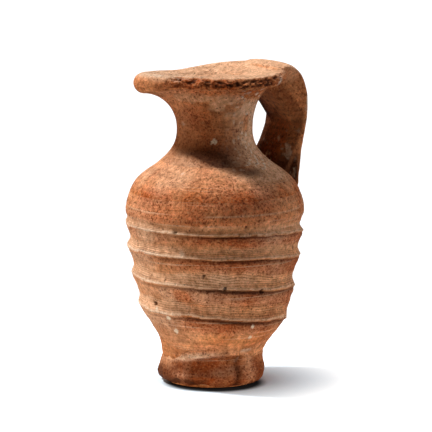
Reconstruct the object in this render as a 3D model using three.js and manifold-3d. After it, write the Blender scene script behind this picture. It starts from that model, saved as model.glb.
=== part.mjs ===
// A small wheel-thrown terracotta jug with a pinched pouring mouth and a strap handle.
// Millimetres, +Z up. The origin is the centre of the flat underside, and the handle stands towards +X.
// Each clay member is its own solid, and the joints between them are open by the thickness of the slip.

import * as THREE from "three";
import { mergeVertices } from "three/addons/utils/BufferGeometryUtils.js";
import Module from "manifold-3d";

const wasm = await Module();
wasm.setup();

// Joints
const SLIP = 0.3; // clear gap that the slip fills between two members
const SCARF = 2.0; // how much higher a wall joint lies inside than outside

// Base and foot
const CORE_RADIUS = 16.6; // thrown base inside the foot ring
const FLOOR_HEIGHT = 9.5; // inside floor above the underside
const FOOT_BASE_RADIUS = 19.4;
const FOOT_RADIUS = 20.8;
const FOOT_BULGE_HEIGHT = 4.6;
const FOOT_HEIGHT = 13; // upper edge where it stands highest
const FOOT_EDGE = 0.9; // thickness of the upper edge that laps the wall
const FOOT_EDGE_WAVE = 3; // how far that edge sinks on the opposite side
const FOOT_EDGE_ANGLE = -118; // where it stands highest
const INSTEP_HOLLOW = 1.2; // how far the thumbs drew the ring in below its upper edge
const THUMB_PRESSES = 7;
const THUMB_DEPTH = 0.45;

// Body
const WAIST_RADIUS = 19.6;
const WAIST_HEIGHT = 11.5;
const HIP_RADIUS = 29.4;
const HIP_HEIGHT = 29.5;
const BELLY_RADIUS = 34.9;
const BELLY_HEIGHT = 66;
const SHOULDER_RADIUS = 33;
const SHOULDER_HEIGHT = 75.4;
const FOOT_LEAN = 12; // lean of the wall from upright, in degrees, outward going up
const HIP_LEAN = 13;
const SHOULDER_LEAN = -20;
const BODY_WALL = 5.2;
const FOOT_WALL = 6.2; // wall at the waist, where the clay was left thick

// Spiral throwing ridge
const RIDGE_HEIGHT = 62.6; // crest where the spiral crosses RIDGE_ANGLE for the first time
const RIDGE_ANGLE = 150;
const RIDGE_PITCH = 8.25; // drop in the first turn
const RIDGE_PITCH_GROWTH = 0.75; // further drop with the square of the turns
const RIDGE_DEPTH = 1.5;
const RIDGE_SWAY = 0.8; // the crests run high on one side and low on the other
const RIDGE_SWAY_ANGLE = -124;
const RIDGE_FADE = 6; // height over which the ridge rises out of the plain wall at each end
const RIDGE_TOP = 68.5;
const RIDGE_BOTTOM = 20.5;
const GROOVE_SHARE = 0.68; // part of the pitch, below a crest, where the groove is deepest

// Shoulder and neck
const COLLAR_RADIUS = 20.9;
const COLLAR_HEIGHT = 87.2;
const COLLAR_LEAN = -48;
const NECK_RADIUS = 14.7;
const NECK_HEIGHT = 99.5;
const NECK_WALL = 4.4;

// Mouth, seen from above: a broad lobe under the handle, two pinches and a narrow spout
const RIM_HEIGHT = 122;
const PINCH_RADIUS = 21.6;
const SPOUT_REACH = 31.6;
const SPOUT_ANGLE = 149;
const SPOUT_SPREAD = 54;
const BACK_REACH = 28;
const BACK_ANGLE = -32;
const BACK_SPREAD = 112;
const RIM_DIP = 1.3; // the rim sinks between the handle and the spout on the far side
const RIM_DIP_ANGLE = 108;
const RIM_DIP_SPREAD = 62;
const LIP_THICKNESS = 4.6;
const SPOUT_THICKNESS = 8.2;
const LIP_LEVEL = 3; // how far in the top stays level before it slopes down to the throat
const LIP_DISH = 3; // how far it slopes down on the far side
const LIP_NEAR_DISH = 0.4; // and on the near side
const LIP_NEAR_ANGLE = -112;
const LIP_NEAR_SPREAD = 115;
const LIP_EDGE_ROUND = 0.9;
const THROAT_RADIUS = 10.6; // at the top, a little wider than the neck inside
const CHANNEL_REACH = 21; // the throat drawn out under the spout
const CHANNEL_SPREAD = 40;

// Strap handle
const STRAP_WIDTH = 25;
const STRAP_THICKNESS = 4.9;
const STRAP_REACH = 37; // outer face from the axis
const STRAP_REACH_HEIGHT = 107;
const STRAP_RISE = 3.6; // top of the arch above the rim
const STRAP_LAP = 7.4; // how far the strap lies in over the rim
const STRAP_LAP_THICKNESS = 1.3; // the end that lies on the rim is pressed thin
const STRAP_LAP_WIDTH = 30; // and spread along it
const STRAP_BED = 3; // clay under the lap, bedded on the rim
const STRAP_FOOT_RADIUS = 30.2; // middle of the strap where it enters the shoulder
const STRAP_FOOT_HEIGHT = 76.6;
const STRAP_SPLAY = 1.2; // width at the shoulder as a multiple of the strap's width
const STRAP_WRAP = 0.4; // share of the wall's own curve that the foot of the strap takes on

// Luting coils pressed into the two inner corners of the handle
const UPPER_COIL_RADIUS = 5;
const LOWER_COIL_RADIUS = 4.2;
const COIL_LENGTH = 24;

// Facets
const SEGMENTS = 44;
const CLAY = "#a9643f";
const CLAY_ROUGHNESS = 0.9;

const radians = THREE.MathUtils.degToRad;
const mix = THREE.MathUtils.lerp;
const smooth = THREE.MathUtils.smoothstep;
const at = (radius, height) => new THREE.Vector2(radius, height);

// A solid turned round Z whose profile may change with the angle. The profile runs anticlockwise
// in the plane of radius and height. It closes on itself, or starts and ends on the axis.
function turned(profileAt) {
  const position = [];
  const index = [];
  let count = 0;
  let closed = true;
  for (let i = 0; i < SEGMENTS; i += 1) {
    const angle = (i / SEGMENTS) * 2 * Math.PI;
    const profile = profileAt(angle);
    count = profile.length;
    closed = profile[0].x > 0;
    for (const point of profile) {
      position.push(point.x * Math.cos(angle), point.x * Math.sin(angle), point.y);
    }
  }
  const spans = closed ? count : count - 1;
  for (let i = 0; i < SEGMENTS; i += 1) {
    const here = i * count;
    const next = ((i + 1) % SEGMENTS) * count;
    for (let j = 0; j < spans; j += 1) {
      const k = (j + 1) % count;
      index.push(here + j, next + j, next + k);
      index.push(here + j, next + k, here + k);
    }
  }
  const geometry = new THREE.BufferGeometry();
  geometry.setAttribute("position", new THREE.Float32BufferAttribute(position, 3));
  geometry.setIndex(index);
  return welded(geometry);
}

// Shared vertices merged, and the collapsed triangles at the axis left out
function welded(geometry) {
  const merged = mergeVertices(geometry, 1e-4);
  const kept = [];
  const corner = merged.index.array;
  for (let i = 0; i < corner.length; i += 3) {
    const [a, b, c] = [corner[i], corner[i + 1], corner[i + 2]];
    if (a !== b && b !== c && c !== a) kept.push(a, b, c);
  }
  merged.setIndex(kept);
  return merged;
}

function solidOf(geometry) {
  const vertProperties = new Float32Array(geometry.attributes.position.array);
  const triVerts = new Uint32Array(geometry.index.array);
  return new wasm.Manifold(new wasm.Mesh({ numProp: 3, vertProperties, triVerts }));
}

function geometryOf(solid) {
  const mesh = solid.getMesh();
  const geometry = new THREE.BufferGeometry();
  geometry.setAttribute("position", new THREE.Float32BufferAttribute(mesh.vertProperties, 3));
  geometry.setIndex(Array.from(mesh.triVerts));
  return geometry;
}

// The outline of the wall, as runs between stations. A station has a radius, a height, the lean of
// the wall from upright in degrees (outward is positive) and the thickness of the wall.
const station = (radius, height, lean, wall) => ({ point: at(radius, height), lean: radians(lean), wall });
const base = station(CORE_RADIUS, 0, FOOT_LEAN, FOOT_WALL);
const waist = station(WAIST_RADIUS, WAIST_HEIGHT, FOOT_LEAN, FOOT_WALL);
const hip = station(HIP_RADIUS, HIP_HEIGHT, HIP_LEAN, BODY_WALL);
const belly = station(BELLY_RADIUS, BELLY_HEIGHT, 0, BODY_WALL);
const shoulderBreak = station(SHOULDER_RADIUS, SHOULDER_HEIGHT, SHOULDER_LEAN, BODY_WALL);
const collar = station(COLLAR_RADIUS, COLLAR_HEIGHT, COLLAR_LEAN, NECK_WALL);
const neckWaist = station(NECK_RADIUS, NECK_HEIGHT, 0, NECK_WALL);
const RUN_EASE = 0.38; // length of a run's tangents as a share of its span

function run(from, to) {
  const reach = from.point.distanceTo(to.point) * RUN_EASE;
  const lead = at(Math.sin(from.lean), Math.cos(from.lean)).multiplyScalar(reach);
  const trail = at(Math.sin(to.lean), Math.cos(to.lean)).multiplyScalar(reach);
  const curve = new THREE.CubicBezierCurve(
    from.point,
    from.point.clone().add(lead),
    to.point.clone().sub(trail),
    to.point,
  );
  return { curve, from, to, length: curve.getLength() };
}

// Place on a chain of runs at a distance from its start: the point, the way out and the wall
function placeOn(runs, distance) {
  let left = distance;
  let here = runs[0];
  for (const next of runs) {
    here = next;
    if (left <= next.length || next === runs.at(-1)) break;
    left -= next.length;
  }
  const share = THREE.MathUtils.clamp(left / here.length, 0, 1);
  const tangent = here.curve.getTangentAt(share);
  return {
    point: here.curve.getPointAt(share),
    out: at(tangent.y, -tangent.x),
    wall: mix(here.from.wall, here.to.wall, share),
  };
}

function spaced(start, end, count) {
  return Array.from({ length: count + 1 }, (_, i) => mix(start, end, i / count));
}

const lower = run(base, waist);
const flare = run(waist, hip);
const bellyRun = run(hip, belly);
const brow = run(belly, shoulderBreak);
const dome = run(shoulderBreak, collar);
const throat = run(collar, neckWaist);
const wall = [lower, flare, bellyRun, brow, dome, throat];
const bodyTop = lower.length + flare.length + bellyRun.length + brow.length;
const domeTop = bodyTop + dome.length;
const throatTop = domeTop + throat.length;

function outside(distance, clearance = 0) {
  const place = placeOn(wall, distance);
  return place.point.clone().addScaledVector(place.out, clearance);
}

function inside(distance) {
  const place = placeOn(wall, distance);
  return place.point.clone().addScaledVector(place.out, -place.wall);
}

// Depth of the spiral groove below the crests, at an angle and a height
function grooveDepth(angle, height) {
  const sway = RIDGE_SWAY * Math.cos(angle - radians(RIDGE_SWAY_ANGLE));
  const drop = RIDGE_HEIGHT + sway - height;
  const root = Math.sqrt(Math.max(RIDGE_PITCH ** 2 + 4 * RIDGE_PITCH_GROWTH * drop, 0));
  const turns = (root - RIDGE_PITCH) / (2 * RIDGE_PITCH_GROWTH);
  const phase = THREE.MathUtils.euclideanModulo(turns - (angle - radians(RIDGE_ANGLE)) / (2 * Math.PI), 1);
  const below = phase < GROOVE_SHARE ? phase / GROOVE_SHARE : (1 - phase) / (1 - GROOVE_SHARE);
  const fadeIn = smooth(height, RIDGE_BOTTOM, RIDGE_BOTTOM + RIDGE_FADE);
  const fadeOut = 1 - smooth(height, RIDGE_TOP - RIDGE_FADE, RIDGE_TOP);
  return RIDGE_DEPTH * fadeIn * fadeOut * (0.5 - 0.5 * Math.cos(Math.PI * below));
}

// Body: closed floor, waist and the ridged wall up to the shoulder break
const BODY_ROWS = 50;
const BODY_INNER_ROWS = 11;
const bodyOuter = spaced(0, bodyTop - SLIP / 2, BODY_ROWS).map((distance) => outside(distance));
const bodyInner = spaced(lower.length, bodyTop - SLIP / 2 + SCARF, BODY_INNER_ROWS).map(inside).reverse();
const floorEdge = bodyInner.at(-1);
const FLOOR_ROWS = 4;
const FLOOR_FLATNESS = 0.75; // how far out the floor stays level
const floorCurve = new THREE.QuadraticBezierCurve(
  floorEdge,
  at(floorEdge.x * FLOOR_FLATNESS, FLOOR_HEIGHT),
  at(0, FLOOR_HEIGHT),
);
const bodyFloor = floorCurve.getPoints(FLOOR_ROWS).slice(1);

function bodyProfile(angle) {
  const ridged = bodyOuter.map((point) => at(point.x - grooveDepth(angle, point.y), point.y));
  return [at(0, 0), ...ridged, ...bodyInner, ...bodyFloor];
}

// Foot ring: a coil pressed round the base, thumbed in round its outside
const FOOT_INNER_ROWS = 5;
const TOE_ROUND = 0.25; // low in the toe: a full, round edge to the sole
const INSTEP_ROUND = 0.6;
const footTopDistance = (lower.length * FOOT_HEIGHT) / WAIST_HEIGHT;

function footProfile(angle) {
  const thumb = (THUMB_DEPTH / 2) * (1 - Math.cos(THUMB_PRESSES * angle));
  const wave = (FOOT_EDGE_WAVE / 2) * (Math.cos(angle - radians(FOOT_EDGE_ANGLE)) - 1);
  const topDistance = footTopDistance + wave;
  const seat = spaced(0, topDistance, FOOT_INNER_ROWS).map((distance) => outside(distance, SLIP));
  seat[0].y = 0;
  const edge = outside(topDistance, SLIP + FOOT_EDGE);
  const bulge = at(FOOT_RADIUS - thumb, FOOT_BULGE_HEIGHT);
  const sole = at(FOOT_BASE_RADIUS - thumb, 0);
  const toe = new THREE.QuadraticBezierCurve(sole, at(bulge.x, bulge.y * TOE_ROUND), bulge);
  const rise = at(bulge.x - INSTEP_HOLLOW, mix(bulge.y, edge.y, INSTEP_ROUND));
  const instep = new THREE.QuadraticBezierCurve(bulge, rise, edge);
  return [...toe.getPoints(3), ...instep.getPoints(3).slice(1), ...seat.reverse()];
}

// Shoulder: the dome between its two scarfed joints
const DOME_ROWS = 9;
const domeOuter = spaced(bodyTop + SLIP / 2, domeTop - SLIP / 2, DOME_ROWS).map((place) => outside(place));
const domeInner = spaced(bodyTop + SLIP / 2 + SCARF, domeTop - SLIP / 2 + SCARF, DOME_ROWS).map(inside);
const domeProfile = () => [...domeOuter, ...[...domeInner].reverse()];

// Plan of the mouth: a raised cosine for each lobe, over the radius of the pinches
function lobe(angle, centre, spread) {
  const turn = THREE.MathUtils.euclideanModulo(angle - radians(centre) + Math.PI, 2 * Math.PI) - Math.PI;
  const share = Math.min(Math.abs(turn) / radians(spread), 1);
  return 0.5 + 0.5 * Math.cos(Math.PI * share);
}

const BACK_FULLNESS = 0.6; // below 1 the back lobe is broad and round
const spoutShare = (angle) => lobe(angle, SPOUT_ANGLE, SPOUT_SPREAD);
const backShare = (angle) => lobe(angle, BACK_ANGLE, BACK_SPREAD) ** BACK_FULLNESS;

function mouthRadius(angle) {
  const spout = (SPOUT_REACH - PINCH_RADIUS) * spoutShare(angle);
  const back = (BACK_REACH - PINCH_RADIUS) * backShare(angle);
  return PINCH_RADIUS + spout + back;
}

const rimHeight = (angle) => RIM_HEIGHT - RIM_DIP * lobe(angle, RIM_DIP_ANGLE, RIM_DIP_SPREAD);
const lipThickness = (angle) => mix(LIP_THICKNESS, SPOUT_THICKNESS, spoutShare(angle));
const lipSeat = (angle) => rimHeight(angle) - lipThickness(angle);
const lipNose = (angle) => lipThickness(angle) / 2;

function throatRadius(angle) {
  return mix(THROAT_RADIUS, CHANNEL_REACH, lobe(angle, SPOUT_ANGLE, CHANNEL_SPREAD));
}

// Neck: from the collar up, then flaring on a quarter ellipse from round to the plan of the mouth
const NECK_ROWS = 6;
const FLARE_ROWS = 7;
const neckOuter = spaced(domeTop + SLIP / 2, throatTop, NECK_ROWS).map((distance) => outside(distance));
const neckInner = spaced(domeTop + SLIP / 2 + SCARF, throatTop, NECK_ROWS).map(inside);

function flareTo(start, end) {
  return spaced(0, Math.PI / 2, FLARE_ROWS).map((turn) =>
    at(mix(start.x, end.x, 1 - Math.cos(turn)), mix(start.y, end.y, Math.sin(turn))),
  );
}

function flareOuter(angle, clearance = 0) {
  const end = at(mouthRadius(angle) - lipNose(angle) + clearance, lipSeat(angle) - SLIP);
  return flareTo(at(NECK_RADIUS + clearance, NECK_HEIGHT), end);
}

function neckProfile(angle) {
  const innerTop = at(throatRadius(angle), lipSeat(angle) - SLIP);
  const innerFlare = flareTo(neckInner.at(-1), innerTop);
  const up = [...neckOuter.slice(0, -1), ...flareOuter(angle)];
  const down = [...neckInner.slice(0, -1), ...innerFlare].reverse();
  return [...up, ...down];
}

// Lip: a broad coil with a half-round nose, seated on the flare. Its top dishes down to the throat.
const NOSE_ROWS = 7;
const DISH_ROWS = 4;
const EDGE_ROWS = 2;
const nearShare = (angle) => lobe(angle, LIP_NEAR_ANGLE, LIP_NEAR_SPREAD);

function lipNoseLine(angle, clearance = 0) {
  const nose = lipNose(angle);
  const half = lipThickness(angle) / 2;
  const centre = at(mouthRadius(angle) - nose, rimHeight(angle) - half);
  return spaced(-Math.PI / 2, Math.PI / 2, NOSE_ROWS).map((turn) =>
    at(centre.x + (nose + clearance) * Math.cos(turn), centre.y + (half + clearance) * Math.sin(turn)),
  );
}

function lipProfile(angle, clearance = 0) {
  const nose = lipNoseLine(angle, clearance);
  const crest = nose.at(-1);
  const throatWall = throatRadius(angle);
  const edge = crest.y - mix(LIP_DISH, LIP_NEAR_DISH, nearShare(angle));
  const edgeStart = at(throatWall + LIP_EDGE_ROUND, edge);
  const edgeEnd = at(throatWall, edge - LIP_EDGE_ROUND);
  const dish = new THREE.QuadraticBezierCurve(crest, at(crest.x - LIP_LEVEL, crest.y), edgeStart);
  const roundEdge = new THREE.QuadraticBezierCurve(edgeStart, at(throatWall, edge), edgeEnd);
  return [
    ...nose,
    ...dish.getPoints(DISH_ROWS).slice(1),
    ...roundEdge.getPoints(EDGE_ROWS).slice(1),
    at(throatWall, lipSeat(angle) + clearance),
  ];
}

// The whole outside of the jug grown by the slip, closed inside the mouth: what the handle is cut by
const ENVELOPE_ROWS = 24;

function envelopeProfile(angle) {
  const bodyLine = spaced(0, throatTop, ENVELOPE_ROWS).map((distance) => outside(distance, SLIP));
  bodyLine[0].y = -SLIP;
  const flareLine = flareOuter(angle, SLIP).slice(1, -1);
  const lipLine = lipProfile(angle, SLIP);
  return [at(0, -SLIP), ...bodyLine, ...flareLine, ...lipLine, at(0, lipSeat(radians(SPOUT_ANGLE)))];
}

// Strap: a flat lens of a section swept down one planar path in the plane of the handle
const strapMiddle = STRAP_REACH - STRAP_THICKNESS / 2;
const archTop = RIM_HEIGHT + STRAP_RISE - STRAP_THICKNESS / 2;
const lapStart = mouthRadius(0) - STRAP_LAP;
const ARCH_FULLNESS = 0.5; // how far out the strap runs level before it turns down
const ARCH_LIFT = 1.3; // how much the arch is drawn up past the lap
const BEND_DROP = 0.2; // where the strap has turned to upright, as a share of its fall
const FALL_EASE = 0.36;
const FALL_SWAY = 0.5; // how much the strap hollows in on its way down
const strapTop = new THREE.CubicBezierCurve(
  at(lapStart, RIM_HEIGHT + STRAP_LAP_THICKNESS / 2),
  at(mix(lapStart, strapMiddle, ARCH_FULLNESS), archTop + ARCH_LIFT),
  at(strapMiddle + FALL_SWAY, mix(archTop, STRAP_REACH_HEIGHT, BEND_DROP)),
  at(strapMiddle, STRAP_REACH_HEIGHT),
);
const strapFall = new THREE.CubicBezierCurve(
  at(strapMiddle, STRAP_REACH_HEIGHT),
  at(strapMiddle - FALL_SWAY, mix(STRAP_REACH_HEIGHT, STRAP_FOOT_HEIGHT, FALL_EASE)),
  at(STRAP_FOOT_RADIUS - FALL_SWAY, mix(STRAP_FOOT_HEIGHT, STRAP_REACH_HEIGHT, FALL_EASE)),
  at(STRAP_FOOT_RADIUS, STRAP_FOOT_HEIGHT),
);
const strapPath = new THREE.CurvePath();
strapPath.add(strapTop);
strapPath.add(strapFall);
const STRAP_STEPS = 30;
const STRAP_SIDES = 16;
const LAP_END = 0.22; // share of the path over which the lap thickens and widens
const BED_END = 0.34; // share of the path where the bed of clay under the lap runs out
const SPLAY_START = 0.72; // share of the path where the strap starts to widen and to bend round the wall
const SECTION_SQUARENESS = 0.72; // below 1 the ends of the section are blunt

function strap(clearance) {
  const position = [];
  const index = [];
  for (let i = 0; i <= STRAP_STEPS; i += 1) {
    const share = i / STRAP_STEPS;
    const middle = strapPath.getPointAt(share);
    const tangent = strapPath.getTangentAt(share);
    const foot = smooth(share, SPLAY_START, 1);
    const splay = mix(1, STRAP_SPLAY, foot);
    const past = smooth(share, 0, LAP_END);
    const halfWidth = (mix(STRAP_LAP_WIDTH, STRAP_WIDTH, past) * splay) / 2 + clearance;
    const thickness = mix(STRAP_LAP_THICKNESS, STRAP_THICKNESS, past);
    const halfThickness = thickness / 2 + clearance;
    const bed = STRAP_BED * (1 - smooth(share, LAP_END, BED_END));
    for (let j = 0; j < STRAP_SIDES; j += 1) {
      const turn = (j / STRAP_SIDES) * 2 * Math.PI;
      const across = Math.sign(Math.cos(turn)) * Math.abs(Math.cos(turn)) ** SECTION_SQUARENESS;
      const up = Math.sign(Math.sin(turn)) * Math.abs(Math.sin(turn)) ** SECTION_SQUARENESS;
      const lift = up * (up > 0 ? halfThickness : halfThickness + bed);
      const y = across * halfWidth;
      const wrap = STRAP_WRAP * foot * (STRAP_FOOT_RADIUS - Math.sqrt(STRAP_FOOT_RADIUS ** 2 - y ** 2));
      position.push(middle.x - tangent.y * lift - wrap, y, middle.y + tangent.x * lift);
    }
  }
  for (let i = 0; i < STRAP_STEPS; i += 1) {
    for (let j = 0; j < STRAP_SIDES; j += 1) {
      const k = (j + 1) % STRAP_SIDES;
      const here = i * STRAP_SIDES;
      const next = here + STRAP_SIDES;
      index.push(here + j, here + k, next + k);
      index.push(here + j, next + k, next + j);
    }
  }
  const last = STRAP_STEPS * STRAP_SIDES;
  for (let j = 1; j < STRAP_SIDES - 1; j += 1) {
    index.push(0, j + 1, j);
    index.push(last, last + j, last + j + 1);
  }
  const geometry = new THREE.BufferGeometry();
  geometry.setAttribute("position", new THREE.Float32BufferAttribute(position, 3));
  geometry.setIndex(index);
  return solidOf(welded(geometry));
}

const envelope = solidOf(turned(envelopeProfile));
const handle = strap(0).subtract(envelope);

// Luting coil: a sausage of clay laid across the strap, pressed into its corner
const COIL_CAP_ROWS = 5;
const COIL_SIDES = 14;

function lutingCoil(centre, radius) {
  const sausage = new THREE.CapsuleGeometry(radius, COIL_LENGTH - 2 * radius, COIL_CAP_ROWS, COIL_SIDES);
  sausage.deleteAttribute("normal");
  sausage.deleteAttribute("uv");
  sausage.translate(centre.x, 0, centre.y);
  return geometryOf(solidOf(welded(sausage)).subtract(envelope).subtract(strap(SLIP)));
}

// Each coil's middle lies a little off the inner face of the strap: the upper one right under the lip,
// the lower one beside a place on the strap's path
const LOWER_COIL_SHARE = 0.87;
const COIL_BEDDING = 0.7; // distance of a coil's middle from what it is pressed against, in coil radii
const FACE_STEPS = 400;
const upFromFoot = spaced(1, 0, FACE_STEPS).map((share) => strapPath.getPointAt(share));

function besideStrap(height, radius) {
  const middle = upFromFoot.find((place) => place.y >= height);
  return at(middle.x - STRAP_THICKNESS / 2 - radius * COIL_BEDDING, height);
}

const upperCoilCentre = besideStrap(lipSeat(0) - UPPER_COIL_RADIUS, UPPER_COIL_RADIUS);
const lowerCoilCentre = besideStrap(strapPath.getPointAt(LOWER_COIL_SHARE).y, LOWER_COIL_RADIUS);

const jug = new THREE.Group();
jug.name = "terracotta_jug";

function member(name, geometry) {
  const clay = new THREE.MeshStandardMaterial({ color: CLAY, roughness: CLAY_ROUGHNESS, metalness: 0 });
  const mesh = new THREE.Mesh(geometry, clay);
  mesh.name = name;
  jug.add(mesh);
}

member("body", turned(bodyProfile));
member("foot_ring", turned(footProfile));
member("shoulder", turned(domeProfile));
member("neck", turned(neckProfile));
member("lip", turned(lipProfile));
member("handle", geometryOf(handle));
member("upper_luting_coil", lutingCoil(upperCoilCentre, UPPER_COIL_RADIUS));
member("lower_luting_coil", lutingCoil(lowerCoilCentre, LOWER_COIL_RADIUS));

export default jug;
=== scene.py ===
# %% [markdown]
# # A terracotta jug
# A small wheel-thrown jug: a round body with one spiral throwing ridge, a pressed foot, a narrow neck,
# a mouth pinched into a spout and a strap handle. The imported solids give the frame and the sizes. This
# lesson dresses them: each clay member becomes a fine mesh in the same place, with weathered clay on it.

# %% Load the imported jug
import math

import bpy
import numpy as np
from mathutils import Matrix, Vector


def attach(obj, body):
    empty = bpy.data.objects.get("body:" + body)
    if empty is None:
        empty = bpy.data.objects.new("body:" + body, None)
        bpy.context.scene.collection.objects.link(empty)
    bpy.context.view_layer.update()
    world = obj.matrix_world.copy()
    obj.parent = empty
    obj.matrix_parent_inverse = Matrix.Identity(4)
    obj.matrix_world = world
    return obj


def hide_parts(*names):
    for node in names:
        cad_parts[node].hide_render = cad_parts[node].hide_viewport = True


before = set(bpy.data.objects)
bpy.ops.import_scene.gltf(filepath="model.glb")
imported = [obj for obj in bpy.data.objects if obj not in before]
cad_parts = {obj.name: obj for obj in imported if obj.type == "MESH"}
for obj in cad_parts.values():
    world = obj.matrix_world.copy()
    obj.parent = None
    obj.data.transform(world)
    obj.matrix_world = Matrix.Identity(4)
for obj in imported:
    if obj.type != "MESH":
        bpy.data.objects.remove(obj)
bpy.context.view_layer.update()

print("solids:", sorted(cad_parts))

# %% [markdown]
# ## Camera
# The jug was photographed from a little above and from far away, so its verticals stay upright. A long
# lens far off gives that. The view is measured in millimetres at the jug: one pixel shows 0.39 mm.

# %% Camera
MM = 0.001  # this script works in millimetres, and Blender in metres
PHOTO_PIXELS = 432
PIXEL_MM = 0.39
CAMERA_DISTANCE = 2500
CAMERA_TURN = math.radians(-34)  # from the front, round to the side away from the handle
CAMERA_RISE = math.radians(9.5)
AIM_HEIGHT = 64.9
AIM_RIGHT = 0.6  # the jug's axis stands this far left of the middle of the picture

to_right = Vector((math.cos(CAMERA_TURN), math.sin(CAMERA_TURN), 0))
to_camera = Vector((
    math.sin(CAMERA_TURN) * math.cos(CAMERA_RISE),
    -math.cos(CAMERA_TURN) * math.cos(CAMERA_RISE),
    math.sin(CAMERA_RISE),
))
to_front = Vector((to_camera.x, to_camera.y, 0)).normalized()
aim = to_right * AIM_RIGHT + Vector((0, 0, AIM_HEIGHT))

camera_data = bpy.data.cameras.new("camera")
camera_data.lens = camera_data.sensor_width * CAMERA_DISTANCE / (PHOTO_PIXELS * PIXEL_MM)
camera = bpy.data.objects.new("camera", camera_data)
camera.location = (aim + to_camera * CAMERA_DISTANCE) * MM
camera.rotation_euler = (-to_camera).to_track_quat("-Z", "Y").to_euler()
bpy.context.scene.collection.objects.link(camera)
bpy.context.scene.camera = camera
print("lens in mm:", round(camera_data.lens, 1))

# %% [markdown]
# ## Colours and nodes
# Colours are given as sRGB hex values, and shaders count in linear light, so one function turns the one
# into the other. A second small function adds a shader node with its settings and its links, and hands
# back the output that the next node is fed from.


# %% Two helpers for materials
def linear(hex_colour):
    """An sRGB hex colour as linear red, green, blue and alpha."""
    parts = [int(hex_colour[i:i + 2], 16) / 255 for i in (1, 3, 5)]
    return [p / 12.92 if p <= 0.04045 else ((p + 0.055) / 1.055) ** 2.4 for p in parts] + [1.0]


def add(tree, kind, inputs=(), out=0, **settings):
    """The output of a new node. An input is given by name or number, as a value or as the socket that feeds it."""
    made = tree.nodes.new("ShaderNode" + kind)
    for name, value in settings.items():
        setattr(made, name, value)
    for place, value in dict(inputs).items():
        if isinstance(value, bpy.types.NodeSocket):
            tree.links.new(value, made.inputs[place])
        else:
            made.inputs[place].default_value = value
    return made.outputs[out] if made.outputs else None


print("clay orange in linear light:", [round(c, 3) for c in linear("#b8703f")])

# %% [markdown]
# ## Floor and light
# The jug stands on a plain white sweep. The floor is an ordinary pale surface that takes the shadow, with
# a light of its own that only the camera sees. That light grows with the distance from the jug, so the
# shadow fades out and the rest is pure white. Under the front of the foot a dark contact shadow is painted
# on the floor. One soft lamp stands high on the left and a little behind: it lights what faces up and leaves
# the neck in the shade of the lip. The floor throws light back up, and two large cards, one on the left and
# one on the right, fill the sides softly.

# %% Floor
FLOOR_WIDTH = 9000
floor_mesh = bpy.data.meshes.new("floor")
half_floor = FLOOR_WIDTH * MM / 2
floor_corners = [(x * half_floor, y * half_floor, 0) for x, y in ((-1, -1), (1, -1), (1, 1), (-1, 1))]
floor_mesh.from_pydata(floor_corners, [], [(0, 1, 2, 3)])
floor = bpy.data.objects.new("floor", floor_mesh)
bpy.context.scene.collection.objects.link(floor)
print("floor across in m:", FLOOR_WIDTH * MM)

# %% Paper of the floor
WHITE = "#ffffff"
COLOUR_OUT = 2  # a Mix node has its colour output in this place
FADE_START, FADE_END = 18, 54  # distances from the axis between which the shadow fades away
SHADOW_GLOW, SHADOW_COLOUR = 0.02, "#d4ecff"
# painted contact shadow: the paper and its glow are darkened under the foot, a little to the front
CONTACT_START, CONTACT_END, CONTACT_FRONT = 16.5, 21.5, 6.5  # the dark under the foot, a little to the front
CONTACT_LIGHT = 0.04
SHEET_START, SHEET_END = 70, 190  # the paper is bright near the jug and falls off into the dark room
SHEET_NEAR, SHEET_FAR = "#d8e5ee", "#6c7074"
BOUNCE, BOUNCE_LIGHT = "#ffd6aa", 0.62  # what the bright paper throws back on to the jug

paper = bpy.data.materials.new("white paper sweep")
paper.use_nodes = True
tree = paper.node_tree
tree.nodes.clear()
under_foot = to_front * CONTACT_FRONT * MM
on_floor = add(tree, "NewGeometry", out="Position")
from_axis = add(tree, "VectorMath", {0: on_floor}, "Value", operation="LENGTH")
from_foot = add(tree, "VectorMath", {0: on_floor, 1: under_foot}, "Value", operation="DISTANCE")
fade = add(tree, "MapRange", {0: from_axis, 1: FADE_START * MM, 2: FADE_END * MM, 3: SHADOW_GLOW, 4: 1.0})
near = add(tree, "MapRange", {0: from_axis, 1: SHEET_START * MM, 2: SHEET_END * MM, 3: 1.0, 4: 0.0})
# painted contact shadow, darkest round a point a little in front of the axis
painted_contact_shadow = add(tree, "MapRange", {
    0: from_foot, 1: CONTACT_START * MM, 2: CONTACT_END * MM, 3: CONTACT_LIGHT, 4: 1.0,
}, interpolation_type="SMOOTHSTEP")
sheet = add(tree, "Mix", {0: near, 6: linear(SHEET_FAR), 7: linear(SHEET_NEAR)}, COLOUR_OUT, data_type="RGBA")
sheet = add(tree, "VectorMath", {0: sheet, "Scale": painted_contact_shadow}, operation="SCALE")
matte = add(tree, "BsdfDiffuse", {"Color": sheet})
fade = add(tree, "Math", {0: fade, 1: painted_contact_shadow}, operation="MULTIPLY")
cool = add(tree, "Mix", {0: fade, 6: linear(SHADOW_COLOUR), 7: linear(WHITE)}, COLOUR_OUT, data_type="RGBA")
glow = add(tree, "Emission", {"Color": cool, "Strength": fade})
thrown = add(tree, "Math", {0: near, 1: BOUNCE_LIGHT}, operation="MULTIPLY")
bounce = add(tree, "Emission", {"Color": linear(BOUNCE), "Strength": thrown})
seen = add(tree, "MixShader", {0: add(tree, "LightPath", out="Is Camera Ray"), 1: bounce, 2: glow})
both = add(tree, "AddShader", {0: matte, 1: seen})
add(tree, "OutputMaterial", {"Surface": both})
floor_mesh.materials.append(paper)
print(paper.name, "has", len(tree.nodes), "nodes")

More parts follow.
